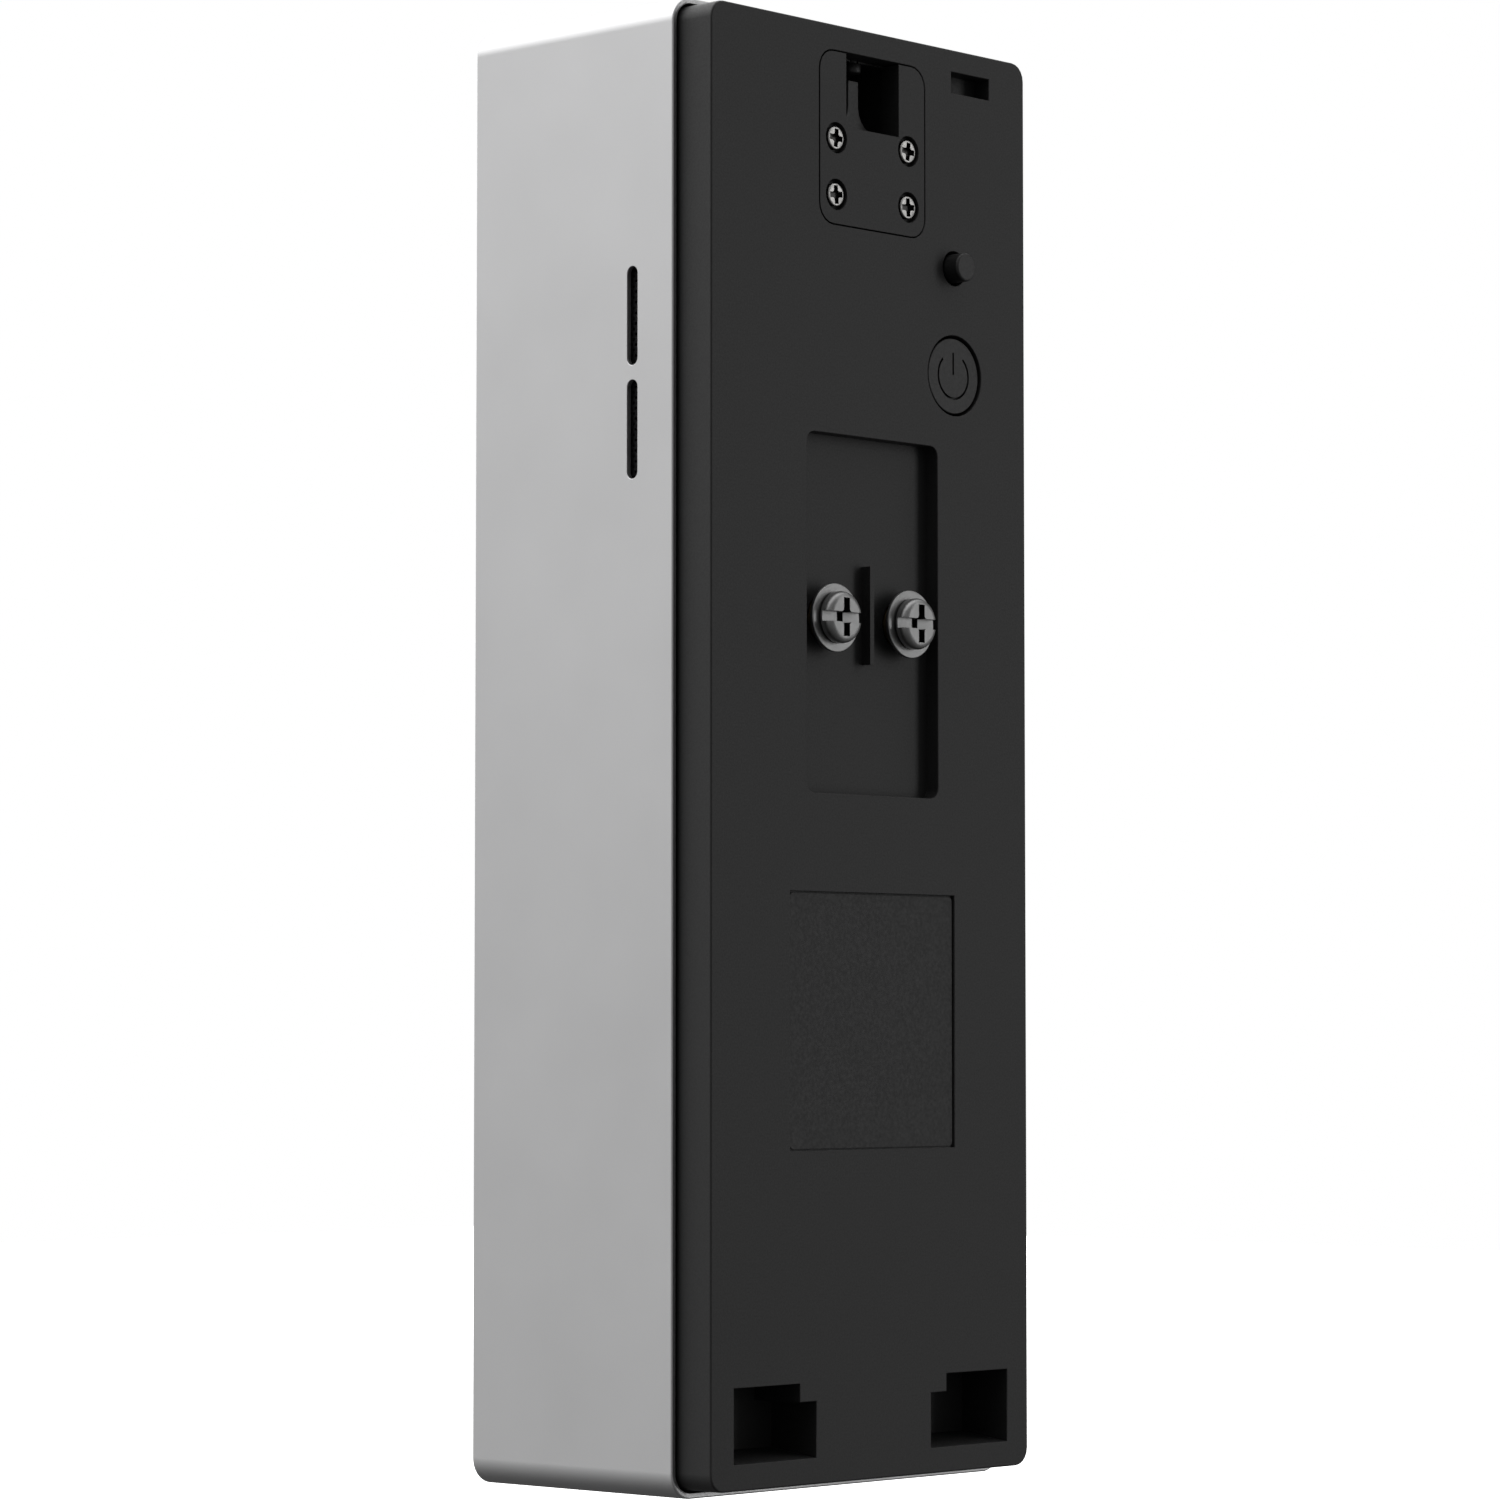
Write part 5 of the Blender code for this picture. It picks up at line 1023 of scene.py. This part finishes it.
# ---- Rating label ------------------------------------------------------------------------------
# A blank matt polyester film, stuck down in its shallow recess.
label_low, label_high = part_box("rating_label")
LABEL_FILM = grained_finish(
    "matt_black_film", (0.004, 0.004, 0.0042), 0.56, grain=0.35 * MM, drift=10.0 * MM,
    contrast=0.1, relief=0.005 * MM, bump=0.3,
)
film_edges = ((label_low.y, 0.0), (label_high.y - 0.02 * MM, 0.0), (label_high.y, 0.02 * MM))
LABEL_CORNER = 0.5 * MM
label = skinned(
    "label_film", [loop_at(y, label_low, label_high, inset, LABEL_CORNER, 6) for y, inset in film_edges]
)
ease_edges(label, 0.0)
mounted(label, "housing", "label", LABEL_FILM, "rating_label")


# ---- Front panel -------------------------------------------------------------------------------
# A polished black acrylic panel, bonded in the front of the sleeve, with openings for the camera, the
# lamps, the sensors and the button.
panel_low, panel_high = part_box("front_panel")
# The eased edges' tone paints the panel's rounded front edge lighter: a painted highlight.
POLISHED_ACRYLIC = grained_finish(
    "polished_black_acrylic", (0.008, 0.008, 0.0095), 0.09, grain=1.5 * MM, drift=30.0 * MM,
    contrast=0.05, relief=0.0008 * MM, bump=0.1, painted_light_tone=1.6, gloss_spread=0.02,
)
panel = traced("gloss_panel", "front_panel")
ease_edges(panel, 0.18 * MM, on_plane(panel_low.y), segments=3)
mounted(panel, "housing", "panel_gloss", POLISHED_ACRYLIC, "front_panel")


# ---- Camera ------------------------------------------------------------------------------------
# A coated cover glass over a stepped black barrel with a domed glass lens in it.
def clear_glass(name, colour, roughness, clearness):
    """Coated glass: mostly transmitting, with a faint purple bloom from its coating towards the rim."""
    material, tree, shader = plain_finish(name, colour, roughness)
    for socket, value in (("Transmission Weight", clearness), ("IOR", 1.5), ("Coat Weight", 0.6),
                          ("Coat Tint", (0.75, 0.7, 1.0, 1.0)), ("Coat Roughness", 0.02)):
        shader.inputs[socket].default_value = value
    texture = grain_in(tree, 0.8 * MM, 5.0 * MM, 0.08)
    tinted(tree, shader, colour, texture.outputs["Tone"])
    return material


camera_height = 128.0
window_low, window_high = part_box("camera_window")
window_radius = (window_high.x - window_low.x) / 2
chamfer = 0.25 * MM
window_profile = [
    (0.0, window_high.y), (window_radius, window_high.y), (window_radius, window_low.y + chamfer),
    (window_radius - chamfer, window_low.y), (0.0, window_low.y),
]
cover_glass = turned("cover_glass", window_profile, (0.0, up(camera_height)), turns=96)
ease_edges(cover_glass, 0.03 * MM, over=40.0)
COVER_GLASS = clear_glass("coated_cover_glass", (0.8, 0.82, 0.88), 0.01, 1.0)
mounted(cover_glass, "housing", "glass", COVER_GLASS, "camera_window")

barrel_low, barrel_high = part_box("lens_barrel")
lens_low, lens_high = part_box("front_lens")
barrel_outer = (barrel_high.x - barrel_low.x) / 2
lens_radius = (lens_high.x - lens_low.x) / 2
mouth = barrel_low.y
barrel_profile = [(0.0, barrel_high.y), (4.8 * MM, barrel_high.y), (4.8 * MM, mouth + 2.5 * MM)]
barrel_profile += [(barrel_outer, mouth + 1.9 * MM), (barrel_outer, mouth + 0.1 * MM)]
barrel_profile += [(barrel_outer - 0.1 * MM, mouth)]
ring_step = 0.22 * MM
inner_radius = lens_radius + 0.3 * MM
rings = int((barrel_outer - inner_radius - 0.3 * MM) / ring_step)
for ring in range(rings):
    reach = barrel_outer - 0.3 * MM - ring * ring_step
    sunk = mouth + 0.07 * MM * ring
    barrel_profile += [(reach, sunk), (reach - 0.02 * MM, sunk + 0.07 * MM)]
barrel_profile += [(inner_radius, mouth + 0.07 * MM * rings), (inner_radius, mouth + 2.2 * MM)]
barrel_profile += [(0.0, mouth + 2.2 * MM)]
barrel = turned("stepped_barrel", barrel_profile, (0.0, up(camera_height)), turns=80)
ease_edges(barrel, 0.0)
mounted(barrel, "housing", "control_black", ACETAL, "lens_barrel")

DOME_RISE = 1.1 * MM
dome_foot = lens_low.y + DOME_RISE
dome_profile = [(0.0, lens_high.y), (lens_radius, lens_high.y), (lens_radius, dome_foot)]
dome_profile += rounding(0.0, dome_foot, lens_radius * 0.97, -DOME_RISE, range(84, 0, -7))
dome_profile += [(0.0, lens_low.y)]
dome = turned("domed_lens", dome_profile, (0.0, up(camera_height)), turns=80)
ease_edges(dome, 0.0)
LENS_GLASS = clear_glass("coated_lens_glass", (0.1, 0.09, 0.16), 0.015, 0.55)
mounted(dome, "housing", "glass", LENS_GLASS, "front_lens")


# ---- Infrared lamps and light sensor -----------------------------------------------------------
# Dark tinted, dome-ended lamps either side of the camera, and a smaller light sensor below it.
DARK_TINT = grained_finish(
    "dark_infrared_acrylic", (0.02, 0.008, 0.012), 0.12, specular=0.6, grain=0.5 * MM, drift=3.0 * MM,
    contrast=0.2, relief=0.001 * MM, bump=0.1, gloss_spread=0.03,
)
LAMPS = {"infrared_led_left": "infrared_lamp_left", "infrared_led_right": "infrared_lamp_right",
         "light_sensor": "light_sensor_dome"}
for node, piece_name in LAMPS.items():
    lamp_low, lamp_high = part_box(node)
    lamp_middle = (lamp_low + lamp_high) / 2
    flange_radius = (lamp_high.x - lamp_low.x) / 2
    lamp_radius = flange_radius - 0.4 * MM
    lamp_profile = [
        (0.0, lamp_high.y), (flange_radius, lamp_high.y), (flange_radius, lamp_high.y - 0.6 * MM),
        (lamp_radius, lamp_high.y - 0.6 * MM),
    ]
    lamp_profile += rounding(0.0, lamp_low.y + lamp_radius, lamp_radius, -lamp_radius, range(90, 0, -10))
    lamp_profile += [(0.0, lamp_low.y)]
    lamp = turned(piece_name, lamp_profile, (lamp_middle.x, lamp_middle.z), turns=48)
    ease_edges(lamp, 0.0)
    mounted(lamp, "housing", "infrared_lens", DARK_TINT, node)


# ---- Motion lens -------------------------------------------------------------------------------
# A dark polyethylene lens over the motion sensor, moulded with a grid of small domed facets.
motion_low, motion_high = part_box("motion_lens")
motion_half_z = (motion_high.z - motion_low.z) / 2
MOTION_RISE = 0.25 * MM
FACET_PITCH = 2.0 * MM
motion_edges = ((motion_high.y, 0.0), (motion_low.y + MOTION_RISE, 0.0),
                (motion_low.y + 0.07 * MM, 0.08 * MM), (motion_low.y, 0.25 * MM))
motion_lens = skinned(
    "motion_lens_cover",
    [
        loop_at(y, motion_low, motion_high, inset, (motion_half_z - inset) * 0.998)
        for y, inset in motion_edges
    ],
)
ease_edges(motion_lens, 0.0)
motion_resin, motion_tree, motion_shader = plain_finish("dark_lens_resin", (0.03, 0.027, 0.027), 0.3)
facet_place = add_node(motion_tree, "ShaderNodeTexCoord").outputs["Object"]
facets = add_node(motion_tree, "ShaderNodeTexVoronoi",
                  {"Scale": 1.0 / FACET_PITCH, "Randomness": 0.0, "Vector": facet_place}, feature="F1")
facet_bump = add_node(motion_tree, "ShaderNodeBump",
                      {"Strength": 0.9, "Distance": 0.25 * MM, "Height": facets.outputs["Distance"]},
                      invert=True)
motion_tree.links.new(facet_bump.outputs["Normal"], motion_shader.inputs["Normal"])
mounted(motion_lens, "housing", "infrared_lens", motion_resin, "motion_lens")


# ---- Doorbell button ---------------------------------------------------------------------------
# The round push button: gloss black with a dished face, in a frosted ring that lights up.
bell_low, bell_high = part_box("doorbell_button")
BELL_HEIGHT = 34.0
BELL_RADIUS = 11.1 * MM
BELL_DISH = 0.35 * MM
BELL_ROUND = 0.35 * MM
BELL_SHOULDER = -29.4 * MM
bell_face = bell_low.y
bell_flange = (bell_high.x - bell_low.x) / 2
bell_profile = [(0.0, bell_high.y), (1.5 * MM, bell_high.y), (1.5 * MM, bell_high.y - 0.4 * MM)]
bell_profile += [(bell_flange, bell_high.y - 0.4 * MM), (bell_flange, BELL_SHOULDER)]
bell_profile += [(BELL_RADIUS, BELL_SHOULDER)]
bell_profile += rounding(BELL_RADIUS - BELL_ROUND, bell_face + BELL_ROUND, BELL_ROUND, -BELL_ROUND,
                         range(90, -1, -15))
for step in range(13):
    share = 0.93 * (1 - step / 12)
    dish = BELL_DISH * (1 - (share / 0.93) ** 2)
    bell_profile.append((BELL_RADIUS * share, bell_face + dish))
bell_button = turned("push_button", bell_profile, (0.0, up(BELL_HEIGHT)), turns=112)
ease_edges(bell_button, 0.0)
mounted(bell_button, "doorbell_button", "panel_gloss", POLISHED_ACRYLIC, "doorbell_button")

ring_low, ring_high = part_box("button_light_ring")
ring_outer = (ring_high.x - ring_low.x) / 2
ring_inner = 11.4 * MM
crown = 0.25 * MM
ring_section = [(ring_outer, ring_high.y), (ring_outer, ring_low.y + crown)]
ring_section += rounding((ring_outer + ring_inner) / 2, ring_low.y + crown, (ring_outer - ring_inner) / 2,
                         -crown, range(75, -90, -15))
ring_section += [(ring_inner, ring_low.y + crown), (ring_inner, ring_high.y)]
light_ring = turned("frosted_ring", ring_section, (0.0, up(BELL_HEIGHT)), turns=112)
ease_edges(light_ring, 0.0)
FROSTED_RING = grained_finish(
    "frosted_light_guide", (0.62, 0.64, 0.68), 0.4, grain=0.3 * MM, drift=4.0 * MM, contrast=0.06,
    relief=0.004 * MM, bump=0.3,
)
ring_shader = FROSTED_RING.node_tree.nodes["Principled BSDF"]
ring_shader.inputs["Subsurface Weight"].default_value = 0.3
ring_shader.inputs["Subsurface Radius"].default_value = (0.001, 0.001, 0.001)
ring_shader.inputs["Subsurface Scale"].default_value = 1.0
mounted(light_ring, "housing", "light_guide", FROSTED_RING, "button_light_ring")


# ---- Pieces inside -----------------------------------------------------------------------------
# The carrier, boards, battery, loudspeaker, switches and seals keep the frame's own solids, and each
# kind gets its finish.
INNER_FINISHES = {
    "inner_plastic": grained_finish("plain_inner_plastic", (0.05, 0.05, 0.055), 0.6),
    "control_black": ACETAL,
    "screw_bright": BRIGHT_NICKEL,
    # Brass darkened far below its own colour: painted shade on the inserts behind the washers.
    "brass": screw_steel("shade_darkened_brass", (0.2, 0.15, 0.08), 0.42),
    "steel": screw_steel("tinned_steel", (0.6, 0.6, 0.6), 0.35),
    "board": grained_finish("green_solder_resist", (0.012, 0.1, 0.045), 0.4, drift=4.0 * MM, contrast=0.25),
    "rubber": grained_finish("foam_rubber", (0.02, 0.02, 0.02), 0.85, grain=0.3 * MM, relief=0.03 * MM),
    "glass": LENS_GLASS,
    "cell_wrap": grained_finish("cell_shrink_wrap", (0.02, 0.12, 0.3), 0.35, drift=20.0 * MM),
    "label": LABEL_FILM,
    "infrared_lens": DARK_TINT,
    "light_guide": FROSTED_RING,
    "housing_black": HOUSING_PLASTIC,
    "panel_gloss": POLISHED_ACRYLIC,
    "screw_black": BLACKENED_STEEL,
    "aluminium": BLASTED_ALUMINIUM,
}
slot_of = {part["node"]: part["material_slot"] for part in frame["record"]["subparts"]}
for node, solid in frame["nodes"].items():
    if not solid.hide_render:
        solid.data.materials.clear()
        solid.data.materials.append(INNER_FINISHES[slot_of[node]])
